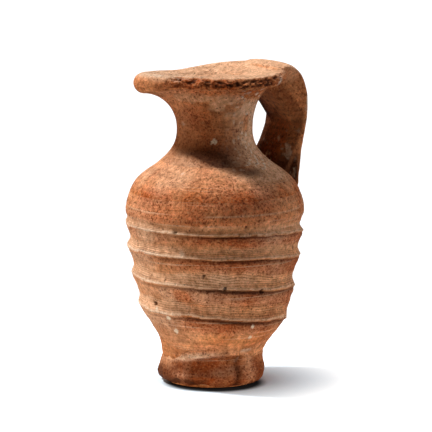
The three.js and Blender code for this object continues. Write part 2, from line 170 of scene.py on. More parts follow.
# %% Lamps
LAMPS = [  # the way to it as right, front and up, then distance, size, watts and colour
    ("key lamp", (-0.62, -0.12, 1), 3500, 460, 158.0, WHITE),
    ("left card", (-0.9, 0.35, 0.22), 1500, 1100, 7.6, "#ffdcb8"),
    ("right card", (1, -0.1, 0.3), 1500, 1100, 9.5, WHITE),
]
for name, (right, front, up), distance, size, watts, colour in LAMPS:
    lamp_data = bpy.data.lights.new(name, "AREA")
    lamp_data.shape = "DISK"
    lamp_data.size = size * MM
    lamp_data.energy = watts
    lamp_data.color = linear(colour)[:3]
    lamp = bpy.data.objects.new(name, lamp_data)
    way = (to_right * right + to_front * front + Vector((0, 0, up))).normalized()
    lamp.location = (Vector((0, 0, AIM_HEIGHT)) + way * distance) * MM
    lamp.rotation_euler = (-way).to_track_quat("-Z", "Y").to_euler()
    bpy.context.scene.collection.objects.link(lamp)
    print(name, "stands at", [round(v, 2) for v in lamp.location])

# %% Room
ROOM_LIGHT, ROOM_COLOUR = 0.06, "#ffc890"
world = bpy.data.worlds.new("white room")
bpy.context.scene.world = world
world.use_nodes = True
tree = world.node_tree
tree.nodes.clear()
room = add(tree, "Background", {"Color": linear(ROOM_COLOUR), "Strength": ROOM_LIGHT})
white = add(tree, "Background", {"Color": linear(WHITE), "Strength": 1.0})
seen = add(tree, "MixShader", {0: add(tree, "LightPath", out="Is Camera Ray"), 1: room, 2: white})
add(tree, "OutputWorld", {"Surface": seen})
bpy.context.scene.view_settings.view_transform = "Standard"
print(world.name, "has", len(tree.nodes), "nodes")

# %% [markdown]
# ## Uneven clay
# Nothing on this jug is true: the potter's hands, the kiln and the soil left it uneven at every size. A
# smooth random field gives that unevenness. It is a block of random numbers, read with smooth steps
# between them, so the same place on the jug gets the same value on every piece and in every run. Each use
# has a number of its own, its kind, which moves it to another part of the block.

# %% Random field
LATTICE = np.random.default_rng(11).uniform(-1, 1, (40, 40, 40))
KIND_SHIFT = 5.37
RELIEF = ((0.28, 24, 1), (0.12, 7, 2), (0.055, 2.2, 3))  # height of the lumps, their size and the kind


def uneven(points, size, kind=0):
    """A smooth random value from -1 to 1 at each point. Its lumps are about size millimetres across."""
    place = np.asarray(points) / size + KIND_SHIFT * kind
    cell = np.floor(place).astype(int)
    part = place - cell
    part = part * part * (3 - 2 * part)
    total = 0
    for corner in np.ndindex(2, 2, 2):
        weight = np.prod(np.where(corner, part, 1 - part), axis=-1)
        index = (cell + np.array(corner)) % len(LATTICE)
        total = total + weight * LATTICE[index[..., 0], index[..., 1], index[..., 2]]
    return total


def drawn_out(points, across, up=1.0):
    """Points scaled sideways and up before they are read. A scale below 1 draws the lumps out that way."""
    return points * np.array([across, across, up])


def hand_relief(points):
    """How far the finished clay stands out of the true form, in millimetres."""
    return sum(height * uneven(points, size, kind) for height, size, kind in RELIEF)


print("relief at three places:", hand_relief(np.array([[30, 0, 40], [0, 30, 60], [-30, 0, 70]])).round(3))


# %% Soft steps and humps
def step(low, high, value):
    """0 below low, 1 above high and a smooth rise between."""
    share = np.clip((value - low) / (high - low), 0, 1)
    return share * share * (3 - 2 * share)


def hump(value, centre, width):
    """A soft hump of 1 round a value."""
    return np.exp(-((value - centre) / width) ** 2)


def round_turn(angle, centre):
    """Signed angle in degrees from a place on the jug, the short way round."""
    return (np.degrees(angle) - centre + 180) % 360 - 180


def press(angle, centre, width):
    """A soft hump of 1 round an angle in degrees."""
    return hump(round_turn(angle, centre), 0, width)


print("half way up a step:", step(0, 1, 0.5), "and one width off a hump:", round(float(hump(1, 0, 1)), 3))

# %% [markdown]
# ## The line of the wall
# A thrown wall is one flowing line from the foot to the neck. It is drawn through a few stations, each
# with a radius, a height, a slant and a wall thickness, and smooth curves between them. These are the same
# stations that the solids were made from, so the fine meshes fall exactly on them.

# %% Wall stations and curve
SEGMENTS = 480  # facets round the jug, under half a millimetre each at the belly
RUN_EASE, RUN_POINTS = 0.38, 201
NECK_RADIUS, NECK_HEIGHT = 14.7, 99.5
STATIONS = [  # radius, height, slant from upright in degrees, wall
    (16.6, 0, 12, 6.2),
    (19.6, 11.5, 12, 6.2),
    (29.4, 29.5, 13, 5.2),
    (34.9, 66, 0, 5.2),
    (33, 75.4, -20, 5.2),
    (20.9, 87.2, -48, 4.4),
    (NECK_RADIUS, NECK_HEIGHT, 0, 4.4),
]


def bezier(points, count):
    """Points along a cubic or quadratic curve, evenly spaced in its own measure."""
    t = np.linspace(0, 1, count)[:, None]
    order = len(points) - 1
    return sum(math.comb(order, i) * t ** i * (1 - t) ** (order - i) * np.array(p, float)
               for i, p in enumerate(points))


def distance_along(line):
    """Distance from the start of a line to each of its points."""
    return np.concatenate([[0], np.cumsum(np.linalg.norm(np.diff(line, axis=0), axis=1))])


def run(start, end):
    """The stretch of wall between two stations: radius, height, wall and distance at many places."""
    slants = [np.array((math.sin(math.radians(s[2])), math.cos(math.radians(s[2])))) for s in (start, end)]
    a, d = np.array(start[:2], float), np.array(end[:2], float)
    reach = RUN_EASE * np.linalg.norm(d - a)
    line = bezier([a, a + slants[0] * reach, d - slants[1] * reach, d], RUN_POINTS)
    gone = distance_along(line)
    wall = start[3] + (end[3] - start[3]) * gone / gone[-1]
    return np.column_stack([line, wall, gone])


runs = [run(a, b) for a, b in zip(STATIONS, STATIONS[1:])]
starts = np.concatenate([[0], np.cumsum([r[-1, 3] for r in runs])])
wall_line = np.concatenate([np.column_stack([r[:-1, :3], r[:-1, 3] + s]) for r, s in zip(runs, starts)])
WAIST_AT, BODY_TOP, DOME_TOP, THROAT_TOP = starts[1], starts[4], starts[5], starts[6]
slope = np.gradient(wall_line[:, :2], wall_line[:, 3], axis=0)
wall_out = np.column_stack([slope[:, 1], -slope[:, 0]])
print("length of the wall in mm:", round(THROAT_TOP, 1))


# %% Places on the wall
def wall_at(distance, depth=0.0):
    """Radius and height on the wall at a distance from the base, a share of the wall's thickness inside."""
    point = np.column_stack([np.interp(distance, wall_line[:, 3], wall_line[:, i]) for i in (0, 1)])
    out = np.column_stack([np.interp(distance, wall_line[:, 3], wall_out[:, i]) for i in (0, 1)])
    wall = np.interp(distance, wall_line[:, 3], wall_line[:, 2])
    return point - out * (wall * depth)[:, None]


def on_wall(angle, height, radius=None):
    """A place on the outside, in space."""
    if radius is None:
        radius = np.interp(height, wall_line[:, 1], wall_line[:, 0])
    return np.array([radius * math.cos(math.radians(angle)), radius * math.sin(math.radians(angle)), height])


print("radius at the belly in mm:", round(float(wall_line[:, 0].max()), 1))

# %% [markdown]
# ## From profile to mesh
# A turned piece is a closed line of radius and height, swept round the axis. The line may change with the
# angle, which gives the spiral ridge and the pinched mouth. A lathe tool would only give a true circle, so
# the grid of points is worked out with arrays, pushed out and in by the unevenness, and then joined up.

# %% Mesh from a grid
SHARP_EDGE = math.radians(55)  # what is less sharp than this is shaded smooth
angles = np.linspace(0, 2 * np.pi, SEGMENTS, endpoint=False)


def turned_points(profile, at=angles):
    """Points in space from rows of radius and height at each angle."""
    radius, height = profile[..., 0], profile[..., 1]
    return np.stack([radius * np.cos(at), radius * np.sin(at), height], axis=-1)


def outward(profile):
    """The way out of the clay at each place of a profile, in the plane of radius and height."""
    along = np.gradient(profile, axis=0)
    out = np.stack([along[..., 1], -along[..., 0]], axis=-1)
    return out / np.maximum(np.linalg.norm(out, axis=-1, keepdims=True), 1e-9)


def facing_up(*parts):
    """How far each place of a profile faces up, part by part, so that the edge of a joint is no top."""
    return np.concatenate([outward(part)[..., 1] for part in parts])


def spread(line):
    """A plain line of radius and height, repeated at every angle."""
    return np.repeat(np.asarray(line)[:, None, :], SEGMENTS, axis=1)


def skin_faces(low, high):
    """Faces between rows of points and the rows above them."""
    return np.stack([low, np.roll(low, -1, 1), np.roll(high, -1, 1), high], axis=-1).reshape(-1, 4).tolist()


def turned_piece(name, profile, poles=False):
    """A mesh object from a closed profile, or from one that starts and ends on the axis."""
    rows = len(profile)
    grid = np.arange(rows * SEGMENTS).reshape(rows, SEGMENTS)
    points = turned_points(profile).reshape(-1, 3)
    if poles:
        faces = skin_faces(grid[:-1], grid[1:]) + [grid[0][::-1].tolist(), grid[-1].tolist()]
    else:
        faces = skin_faces(grid, np.roll(grid, -1, axis=0))
    mesh = bpy.data.meshes.new(name)
    mesh.from_pydata((points * MM).tolist(), [], faces)
    mesh.polygons.foreach_set("use_smooth", [True] * len(mesh.polygons))
    mesh.set_sharp_from_angle(angle=SHARP_EDGE)
    piece = bpy.data.objects.new(name, mesh)
    bpy.context.scene.collection.objects.link(piece)
    print(name, "has", len(mesh.polygons), "faces")
    return piece


# %% [markdown]
# ## Weathering
# Pale dust and lime settle on what faces up, brown soil stays in hollows, and small stones leave pits. The
# same masks carry painted light and shade: what faces up is made paler, as painted light from above, what
# faces down is darkened with painted shade, and painted highlights and shadows are laid on some places. A
# painted picture could show that, but masks need no unwrapping and follow the form: each is a value from 0
# to 1 at every point of a piece. Spots that stand out are placed one by one, by their angle round the jug
# and their height.


# %% Masks and spots
def spot(points, place, size, flat=1.0):
    """A soft round spot. Above 1, flat makes it lie wider than it is high."""
    away = (points - place) / size * np.array([1 / flat, 1 / flat, 1])
    return np.exp(-np.sum(away ** 2, axis=-1))


def crisp(soft, points, kind):
    """A soft spot given a ragged, clear edge."""
    return step(0.35, 0.55, soft + 0.4 * uneven(points, 0.9, kind) * (soft > 0.05))


def weather(points, up):
    """Dust and painted light on what faces up, soil and painted shade on what faces down, and lime, at points whose
    surface faces up by the given amount, from -1 to 1.
    """
    patch = uneven(points, 11, 5) + 0.6 * uneven(points, 4, 6)
    dust = 0.85 * step(0.2, 1.15, up + 0.25 * patch)
    soil = 0.5 * step(0.55, 1.25, -up + 0.45 * patch)
    lime = 0.6 * step(1.15, 1.5, patch + 0.5 * uneven(points, 2.5, 8))
    return dust, soil, lime


def paint(piece, **masks):
    """Keeps each mask on the mesh as a value at every vertex, for the clay's shader to read."""
    for name, values in masks.items():
        layer = piece.data.attributes.new(name, "FLOAT", "POINT")
        layer.data.foreach_set("value", np.clip(values, 0, 1).astype(np.float32).ravel())
    print(piece.name, "on average:", {n: round(float(np.clip(v, 0, 1).mean()), 2) for n, v in masks.items()})


# %% [markdown]
# ## Body
# The wall was drawn up with one finger, which left a spiral groove, and the clay between its turns stands
# as a ridge. Each turn has a sharp crest. Just under it the clay is red and torn, and lower down, where the
# finger dragged, it is smooth, tan and finely combed. A screw tool would give an even thread. Here the
# groove is a formula of angle and height, so it can widen, sway and fade as the hand did.

# %% Spiral groove
FRONT = -124  # the angle that faces the camera
RIDGE_HEIGHT, RIDGE_ANGLE = 62.6, 150
RIDGE_PITCH, RIDGE_GROWTH = 8.25, 0.75
RIDGE_DEPTH, RIDGE_SWAY = 1.8, 0.8
RIDGE_TOP, RIDGE_BOTTOM, RIDGE_FADE = 68.5, 20.5, 6
GROOVE_SHARE = 0.68
ARRIS = 0.7  # 0 is a round crest, 1 a sharp one


def ridge_turns(angle, height):
    """Turns of the spiral counted down from its first crest. Whole numbers lie on a crest."""
    drop = RIDGE_HEIGHT + RIDGE_SWAY * np.cos(angle - math.radians(FRONT)) - height
    root = np.sqrt(np.maximum(RIDGE_PITCH ** 2 + 4 * RIDGE_GROWTH * drop, 0))
    return (root - RIDGE_PITCH) / (2 * RIDGE_GROWTH) - (angle - math.radians(RIDGE_ANGLE)) / (2 * np.pi)


def ridge_share(height):
    """1 where the ridge is full, falling to 0 above and below it."""
    fades_out = 1 - step(RIDGE_TOP - RIDGE_FADE, RIDGE_TOP, height)
    return step(RIDGE_BOTTOM, RIDGE_BOTTOM + RIDGE_FADE, height) * fades_out


print("turns of the ridge at the front:", round(float(ridge_turns(math.radians(FRONT), RIDGE_BOTTOM)), 1))

# %% [markdown]
# The jug does not stand straight: its lowest turn hangs over to one side and its foot stands off to the
# other. Moving the mesh would open the joints, so each angle of the wall is pushed out or in by a little.

# %% Lean of the jug
LEAN_ANGLE = math.radians(-34)
TURN_LEAN, TURN_LEAN_HEIGHT, TURN_LEAN_TILT, TURN_LEAN_SPREAD = 1.4, 26, 4, 5.5
FOOT_LEAN, FOOT_LEAN_TOP = 1.0, 19


def lean(height):
    """How far the wall at each angle stands out because the jug is not straight."""
    toward = np.cos(angles - LEAN_ANGLE)
    over = TURN_LEAN * hump(height - TURN_LEAN_TILT * toward, TURN_LEAN_HEIGHT, TURN_LEAN_SPREAD)
    back = FOOT_LEAN * (1 - step(FOOT_LEAN_TOP / 2, FOOT_LEAN_TOP, height))
    return (over - back) * toward


print("lean at the foot and the lowest turn in mm:", [round(float(lean(h).max()), 2) for h in (0, TURN_LEAN_HEIGHT)])

# %% Edge that the foot ring laps the wall up to
FOOT_HEIGHT, FOOT_EDGE_WAVE, FOOT_EDGE_ANGLE = 13.0, 3.0, math.radians(-118)
edge_at = WAIST_AT * FOOT_HEIGHT / STATIONS[1][1] + FOOT_EDGE_WAVE / 2 * (np.cos(angles - FOOT_EDGE_ANGLE) - 1)
edge_at += 1.1 * press(angles, -115, 28) - 1.4 * press(angles, -180, 20)  # the edge climbs from left to right
lap_height = np.interp(edge_at, wall_line[:, 3], wall_line[:, 1]) - 0.5
print("height of the lap in mm:", lap_height.min().round(1), "to", lap_height.max().round(1))

# %% Ridge and pits of the body
BODY_ROWS = 146
HAND_LIFT, NOTCH_DEPTH, TUCK_DEPTH = 1.7, 1.0, 3.0
PITS = [  # angle, height, size and depth of holes that stones left
    (-176, 33.5, 1.3, 1.2), (-116.5, 41.5, 1.0, 0.9), (-131.5, 46.5, 0.8, 0.7), (-54, 54.5, 1.2, 1.1),
    (-46, 57.5, 1.0, 1.0), (-88, 39.5, 1.1, 0.9), (-150, 63.5, 0.8, 0.6), (-103, 66, 0.8, 0.6),
    (20, 45, 1.2, 0.9), (95, 36, 1.1, 0.9), (60, 60, 0.9, 0.8),
]
body_outer = spread(wall_at(np.linspace(0, BODY_TOP, BODY_ROWS)))
where = turned_points(body_outer)
wall_height = where[..., 2]
front_right, left_side = press(angles, -95, 60), press(angles, 170, 52)

wander = 0.07 * uneven(where, 16, 12) + 0.035 * uneven(where, 5, 13)
hand_lift = HAND_LIFT * press(angles, -95, 68) * step(43, 50, wall_height)  # the upper turns climb at the front
turns = ridge_turns(angles, wall_height - hand_lift) + wander
phase = turns % 1
below = np.where(phase < GROOVE_SHARE, phase / GROOVE_SHARE, (1 - phase) / (1 - GROOVE_SHARE))
flute = (1 - ARRIS) * (0.5 - 0.5 * np.cos(np.pi * below)) + ARRIS * (1 - (1 - below) ** 2)
ridged = ridge_share(wall_height)
notch = hump(phase, 0.065, 0.06)
depth = RIDGE_DEPTH * flute * (1 - 0.25 * left_side + 0.25 * uneven(where, 13, 14)) + NOTCH_DEPTH * notch * front_right
behind_foot = TUCK_DEPTH * (1 - step(-3.2, -0.2, wall_height - lap_height)) * step(1, 2, wall_height)
torn = ridged * step(0.04, 0.1, phase) * (1 - step(0.4, 0.7, phase))
rough = (0.1 + 0.16 * torn) * uneven(where, 1.5, 15)
pits = sum(deep * crisp(spot(where, on_wall(angle, height), 0.75 * size), where, 25)
           for angle, height, size, deep in PITS)
body_outer[..., 0] += lean(wall_height) - ridged * depth - pits - rough - behind_foot
body_outer += outward(body_outer) * (hand_relief(where) * step(0, 2, wall_height))[..., None]
print("deepest groove in mm:", round(float((ridged * depth).max()), 1))

# %% Body mesh
SCARF = 2.0  # the joints of the wall slope in by this much
FLOOR_HEIGHT = 9.5
UNDERSIDE_ROWS = 5
AXIS_GAP = 0.4  # the small ring that closes the mesh at the axis
sole_radii = np.linspace(AXIS_GAP, STATIONS[0][0], UNDERSIDE_ROWS + 1)[:-1]
underside = spread(np.column_stack([sole_radii, np.zeros(UNDERSIDE_ROWS)]))
inner_line = wall_at(np.linspace(BODY_TOP + SCARF, WAIST_AT, 18), depth=1)
edge = inner_line[-1]
floor_line = bezier([edge, (edge[0] * 0.75, FLOOR_HEIGHT), (AXIS_GAP, FLOOR_HEIGHT)], 7)[1:]
body_parts = [underside, body_outer, spread(inner_line), spread(floor_line)]
body_profile = np.concatenate(body_parts)
body = turned_piece("thrown_body", body_profile, poles=True)

# %% Body masks: the bands between the crests
TURNING_LINES = (66.4, 70.2)  # heights of two faint lines that the potter's rib left above the ridge
PALE_PATCHES = [  # angle, height and strength of places worn paler than the band they lie in
    (-172, 61.6, 0.45), (-82, 62, 0.4), (-124, 46, 0.45),
]
LIME_SPOTS = [  # angle, height, size of pale crusts
    (-163, 28.5, 1.6), (-160, 23, 1.8), (-92, 25.5, 1.4), (-90, 20.5, 1.4),
    (-174, 31.5, 1.3), (40, 30, 1.6), (120, 50, 1.4),
]
dust, soil, lime = weather(turned_points(body_profile), facing_up(*body_parts))
comb, red = np.zeros_like(dust), np.full_like(dust, 0.25)
outer_rows = slice(UNDERSIDE_ROWS, UNDERSIDE_ROWS + BODY_ROWS)
# These five look into the whole masks, so what is added to them is added there.
wall_dust, wall_soil, wall_lime, wall_comb, wall_red = (m[outer_rows] for m in (dust, soil, lime, comb, red))

tan_band = ridged * step(0.5, 0.7, phase + 0.12 * uneven(where, 6, 16))
mid_band = ridged * hump(phase, 0.64, 0.17) * step(36, 44, wall_height)
lower_wall = 1 - step(24, 32, wall_height)
brow = step(64, 68, wall_height)
# painted highlight along each crest, weaker at the front right
crest_highlight = ridged * hump(phase, 0.965, 0.045) * (1 - 0.35 * press(angles, -70, 55))
above_crest = ridged * hump(phase, 0.865, 0.035) * step(-0.5, 0.2, uneven(drawn_out(where, 0.3), 3, 52))
low_turn = press(angles, -140, 38) * step(30, 34, wall_height) * (1 - step(48, 52, wall_height))
bright_side, at_edges = press(angles, -176, 34), press(angles, -32, 38) + press(angles, 150, 45)
turning = sum(hump(wall_height - wander * 8, line_height, 0.28) for line_height in TURNING_LINES)
worn = sum(much * spot(where, on_wall(angle, height), 3.6, 2.2) for angle, height, much in PALE_PATCHES)
crusts = sum(crisp(spot(where, on_wall(angle, height), 0.65 * size), where, 26) for angle, height, size in LIME_SPOTS)
print("share of the wall in the tan bands:", round(float(tan_band.mean()), 2))

# %% Body masks: dust and painted highlights, soil and painted shade, lime, comb lines and redder clay
wall_dust *= 1 - 0.55 * ridged
# painted light: the tan bands are much paler on the lit left side
wall_dust += (0.16 + 0.84 * left_side) * tan_band
wall_dust += 0.3 * lower_wall * step(-0.5, 0.5, uneven(where, 7, 19))
wall_dust += 0.7 * turning * step(-0.35, 0.25, uneven(drawn_out(where, 0.25), 3, 50))
# paler on the lit left side of the ridge, as painted light, and near both outlines
wall_dust += 0.3 * (at_edges + ridged * left_side) * step(-0.6, 0.4, uneven(where, 8, 44))
# painted highlight along each crest; the torn bands paler on the lit left side, as painted light
wall_dust += 1.1 * crest_highlight + torn * (0.45 * left_side + 0.35 * press(angles, -78, 18))
# painted light: the middle of each band is paler, as on a rounded band lit from above
wall_dust += 0.3 * mid_band * (1 - left_side)
wall_dust *= 1 - 0.6 * torn * press(angles, -128, 30)
wall_dust += worn + 0.55 * low_turn * step(-0.5, 0.3, uneven(where, 6, 45)) + 0.1 * brow

# painted shade in the notch under each crest, most at the front and right, less on the upper turns
wall_soil += 1.3 * ridged * notch * (0.05 + 0.95 * front_right) * (
    (1 - 0.45 * step(47, 53, wall_height)) * (1 - 0.55 * press(angles, -72, 24))
)
wall_soil += 1.6 * pits + 0.6 * crisp(spot(where, on_wall(146, 60.5), 2.4, 1.5), where, 38)
wall_soil += 0.15 * torn * step(0.1, 0.8, uneven(where, 2.4, 17))
# painted shade under each crest at the front and right, fading down the band
wall_soil += 0.5 * ridged * front_right * step(0.02, 0.08, phase) * (1 - step(0.12, 0.5, phase))
wall_soil *= 1 - 0.8 * worn
# painted shade in the groove just above each crest on the lit left side; the low wall darker on the left
wall_soil += 0.45 * bright_side * above_crest + 0.3 * lower_wall * left_side

# painted highlight: pale lime along each crest, most on the lit left side; then pale crusts
wall_lime += (0.2 + 0.55 * bright_side) * crest_highlight + crusts
wall_comb += ridged * step(0.35, 0.6, phase) * (0.6 + 0.4 * uneven(where, 9, 18)) + 0.15 * lower_wall
# the band middles lose red along with their painted light
wall_red += 0.4 * brow + 0.9 * torn * (1 - left_side) - 0.12 * tan_band - 0.55 * mid_band
wall_red += 0.25 * uneven(where, 14, 20) + 0.45 * lower_wall * step(21, 27, wall_height)
paint(body, dust=dust, soil=soil, lime=lime, comb=comb, red=red)

# %% [markdown]
# The comb lines follow the spiral, so the shader needs to know how far round the spiral each place is. That
# goes into a UV map. A UV map is kept per face corner, so it can jump by a whole turn where the grid closes.

# %% Comb lines of the body
spiral = body.data.uv_layers.new(name="spiral")
spiral_turns = np.zeros((len(body_profile), SEGMENTS + 1))
spiral_turns[outer_rows, :-1] = turns
spiral_turns[outer_rows, -1] = turns[:, 0] - 1
low, high = spiral_turns[:-1], spiral_turns[1:]
corner_turns = np.stack([low[:, :-1], low[:, 1:], high[:, 1:], high[:, :-1]], axis=-1).ravel()
corner_uv = np.zeros((len(body.data.loops), 2), np.float32)
corner_uv[:len(corner_turns), 1] = corner_turns
spiral.data.foreach_set("uv", corner_uv.ravel())
print("turns of the spiral:", round(float(turns.min()), 1), "to", round(float(turns.max()), 1))

# %% [markdown]
# ## Foot ring
# A coil of clay pressed round the base with the thumbs. Its upper edge was smoothed on to the wall, apart
# from a small ledge at the front. A deep thumb hollow faces the front, and the sole is not flat: it lifts
# off the table at the front left. A bent tube would be too even, so its section is drawn anew at each angle.

# %% Thumb marks
FOOT_BASE_RADIUS, FOOT_RADIUS = 19.4, 20.8
FOOT_BULGE_HEIGHT, FOOT_EDGE = 4.6, 0.9
INSTEP_HOLLOW, INSTEP_SHARE = 1.2, 0.6
THUMBS, THUMB_DEPTH = 7, 0.45
BULGE_HOLLOW, BULGE_CREASE, BULGE_HEEL = 0.6, 1.0, 1.3
THUMB_HOLLOW, LUMP_SWELL = 3.4, 1.8
SOLE_INSET, SOLE_LIFT, TOE_LIFT = 1.8, 2.0, 3.0
SEAT_INSET = 0.6  # how far the ring goes into the wall that it was pressed on
thumb = THUMB_DEPTH / 2 * (1 - np.cos(THUMBS * angles))
hollow, crease = press(angles, -126, 26), press(angles, -96, 5)
lift, heel = press(angles, -140, 62), press(angles, 158, 36)
lump = press(angles, -80, 10) + 0.7 * press(angles, -52, 12)
ledge_share = 0.2 + 1.5 * press(angles, -130, 32)
bulge_radius = FOOT_RADIUS - thumb - BULGE_HOLLOW * hollow - BULGE_CREASE * crease + BULGE_HEEL * heel
sole_radius = FOOT_BASE_RADIUS - SOLE_INSET - thumb - SOLE_LIFT * lift
instep_radius = bulge_radius - INSTEP_HOLLOW - THUMB_HOLLOW * hollow + LUMP_SWELL * lump
print("foot's radius in mm:", bulge_radius.min().round(1), "to", bulge_radius.max().round(1))


# %% Foot ring mesh
def foot_line(i):
    """The profile of the foot ring at one angle: toe, instep, lap and the seat on the wall."""
    seat = wall_at(np.linspace(edge_at[i], 0, 9))
    seat[:, 0] -= SEAT_INSET
    ledge, runs_out = wall_at(edge_at[i] + np.array([0, 0.4 + 2.2 * ledge_share[i]]))
    top = ledge + np.array((FOOT_EDGE * ledge_share[i], -0.5))
    bulge = np.array((bulge_radius[i], FOOT_BULGE_HEIGHT))
    toe = bezier([(sole_radius[i], 0), (bulge[0] + 0.3, 0.2 + TOE_LIFT * lift[i]), bulge], 13)
    rise = (instep_radius[i], bulge[1] + INSTEP_SHARE * (top[1] - bulge[1]))
    instep = bezier([bulge, rise, top], 18)[1:]
    lap = bezier([top, (top[0] - 0.1, top[1] + 1.0), runs_out - np.array((0.25, 0))], 9)[1:]
    return np.concatenate([toe, instep, lap, seat])


foot_profile = np.stack([foot_line(i) for i in range(SEGMENTS)], axis=1)
shown = slice(1, 36)  # the rows between the sole's edge and the end of the lap
foot_where = turned_points(foot_profile)
foot_lumps = uneven(foot_where, 5, 21)
foot_push = hand_relief(foot_where) + 0.6 * foot_lumps + 0.22 * uneven(foot_where, 1.8, 22) - 0.2
foot_profile[shown] += (outward(foot_profile) * foot_push[..., None])[shown]
foot_profile[..., 1] = np.maximum(foot_profile[..., 1], 0)
foot_profile[..., 0] += lean(foot_profile[..., 1])
foot_ring = turned_piece("pressed_foot_ring", foot_profile)

# %% Foot ring masks
dust, soil, lime = weather(foot_where, outward(foot_profile)[..., 1])
foot_height = foot_profile[..., 1]
above_lap = foot_height - lap_height
off_lap = 1 - step(-0.7, 0.2, above_lap)
# painted highlight along the ledge at the front left
ledge_highlight = press(angles, -148, 24) * hump(above_lap, 0.2, 1.1)
pale_lump = press(angles, -80, 9) + press(angles, -166, 9) * (1 - step(5, 8, foot_height))
smoothed_on = step(-6, -0.5, above_lap + 1.2 * uneven(foot_where, 4, 51)) * (1 - press(angles, -134, 34))
# painted highlight on the ledge, paler on two lumps, and painted light on the tops of the bumps
dust += 0.25 * (1 - off_lap) + 1.0 * ledge_highlight + 0.4 * pale_lump
dust += 0.2 * step(0.15, 0.5, foot_lumps) * off_lap + 0.12 * smoothed_on
# painted highlight on the ledge
lime += 0.45 * ledge_highlight
# painted shade: darker round the left side and at the right, in the thumb hollow, in the dents and in the crease
in_shade = 0.55 * press(angles, 176, 36) + 0.3 * press(angles, -56, 20)
hollow_shade = 0.1 * hollow * step(2, 6, foot_height) + 0.25 * step(0.05, 0.6, -foot_lumps)
soil += (0.4 + in_shade + 0.5 * crease - 0.35 * pale_lump + hollow_shade) * off_lap - ledge_highlight
soil *= 1 - 0.6 * smoothed_on
red = 0.75 + 0.4 * hollow + 0.3 * uneven(foot_where, 9, 29) - 0.5 * np.maximum(1 - off_lap, 0.6 * smoothed_on)
paint(foot_ring, dust=dust, soil=soil, lime=lime, red=red)

# %% [markdown]
# ## Shoulder
# The dome that closes the body. The joints to the body and to the neck were smeared over, so the meshes
# meet edge to edge, and one mesh for all three would look the same. It stays a piece of its own because it
# was made as one. The shadow that the neck and lip cast on it is painted on, as painted shade along a line
# that slants down to the right.

# %% Shoulder mesh
DOME_ROWS = 44
dome_outer = spread(wall_at(np.linspace(BODY_TOP, DOME_TOP, DOME_ROWS)))
dome_outer += outward(dome_outer) * hand_relief(turned_points(dome_outer))[..., None]
dome_inner = spread(wall_at(np.linspace(DOME_TOP + SCARF, BODY_TOP + SCARF, 10), depth=1))
dome_profile = np.concatenate([dome_outer, dome_inner])
shoulder = turned_piece("domed_shoulder", dome_profile)

# %% Shoulder masks
SHADE_TOP, SHADE_FALL = 90.8, 6.8  # the neck's shade ends lower and lower to the right
dome_points = turned_points(dome_profile)
dust, soil, lime = weather(dome_points, facing_up(dome_outer, dome_inner))
from_front = round_turn(angles, FRONT)
shade_line = SHADE_TOP - SHADE_FALL * step(-36, 38, from_front)
past_line = dome_profile[..., 1] - shade_line + 0.5 * uneven(dome_points, 3, 35)
at_right = step(20, 46, from_front)
in_shade = press(angles, -62, 36) * step(-3.5, 0, past_line)
neck_shadow_span = step(-24, -8, from_front) * (1 - step(38, 62, from_front))
dust *= 1 - 0.5 * press(angles, -120, 36)
dust += 0.95 * in_shade * step(-0.7, 0.0, uneven(dome_points, 6, 23))
lime += 0.9 * in_shade * step(0.3, 0.55, uneven(dome_points, 1.3, 35)) * step(0.5, 2.5, past_line)
# painted shadow of the neck and lip, up to the slanting line
soil += 0.85 * neck_shadow_span * step(-1.5, 1.2, past_line) * (1 - at_right * step(1.5, 4.0, past_line))
red = 0.75 - 0.35 * step(77, 82, dome_profile[..., 1]) + 0.25 * uneven(dome_points, 14, 20)
paint(shoulder, dust=dust, soil=soil, lime=lime, red=red)

# %% [markdown]
# ## Mouth
# Thrown round, then pinched: seen from above it has a broad lobe under the handle, two pinches and a narrow
# spout. Bending a finished mesh would thin the clay, so the plan is a formula: each lobe is a soft hump of
# the angle, added to the radius of the pinches.

# %% Plan of the mouth
RIM_HEIGHT = 122
PINCH_RADIUS = 21.6
SPOUT_REACH, SPOUT_ANGLE, SPOUT_SPREAD = 31.6, 149, 54
BACK_REACH, BACK_ANGLE, BACK_SPREAD, BACK_FULLNESS = 28, -32, 112, 0.6
RIM_DIP, RIM_DIP_ANGLE, RIM_DIP_SPREAD = 1.3, 108, 62
RIM_RISE, RIM_RISE_ANGLE, RIM_RISE_SPREAD = 1.5, 8, 76  # it was pressed up where the strap was luted to it
LIP_THICKNESS, SPOUT_THICKNESS = 4.6, 8.2
LIP_LEVEL, LIP_DISH, LIP_NEAR_DISH = 3, 3.6, -0.3
LIP_NEAR_ANGLE, LIP_NEAR_SPREAD, LIP_EDGE_ROUND = -112, 115, 0.9
THROAT_RADIUS, CHANNEL_REACH, CHANNEL_SPREAD = 10.6, 21, 40


def lobe(angle, centre, reach):
    """A rounded hump of 1 at an angle in degrees that ends at its reach on either side."""
    return 0.5 + 0.5 * np.cos(np.pi * np.minimum(np.abs(round_turn(angle, centre)) / reach, 1))


def mouth(angle):
    """Radius of the lip, height of its rim and its thickness at an angle."""
    spout = lobe(angle, SPOUT_ANGLE, SPOUT_SPREAD)
    back = lobe(angle, BACK_ANGLE, BACK_SPREAD) ** BACK_FULLNESS
    radius = PINCH_RADIUS + (SPOUT_REACH - PINCH_RADIUS) * spout + (BACK_REACH - PINCH_RADIUS) * back
    dip = RIM_DIP * lobe(angle, RIM_DIP_ANGLE, RIM_DIP_SPREAD)
    rim = RIM_HEIGHT - dip + RIM_RISE * lobe(angle, RIM_RISE_ANGLE, RIM_RISE_SPREAD)
    return radius, rim, LIP_THICKNESS + (SPOUT_THICKNESS - LIP_THICKNESS) * spout


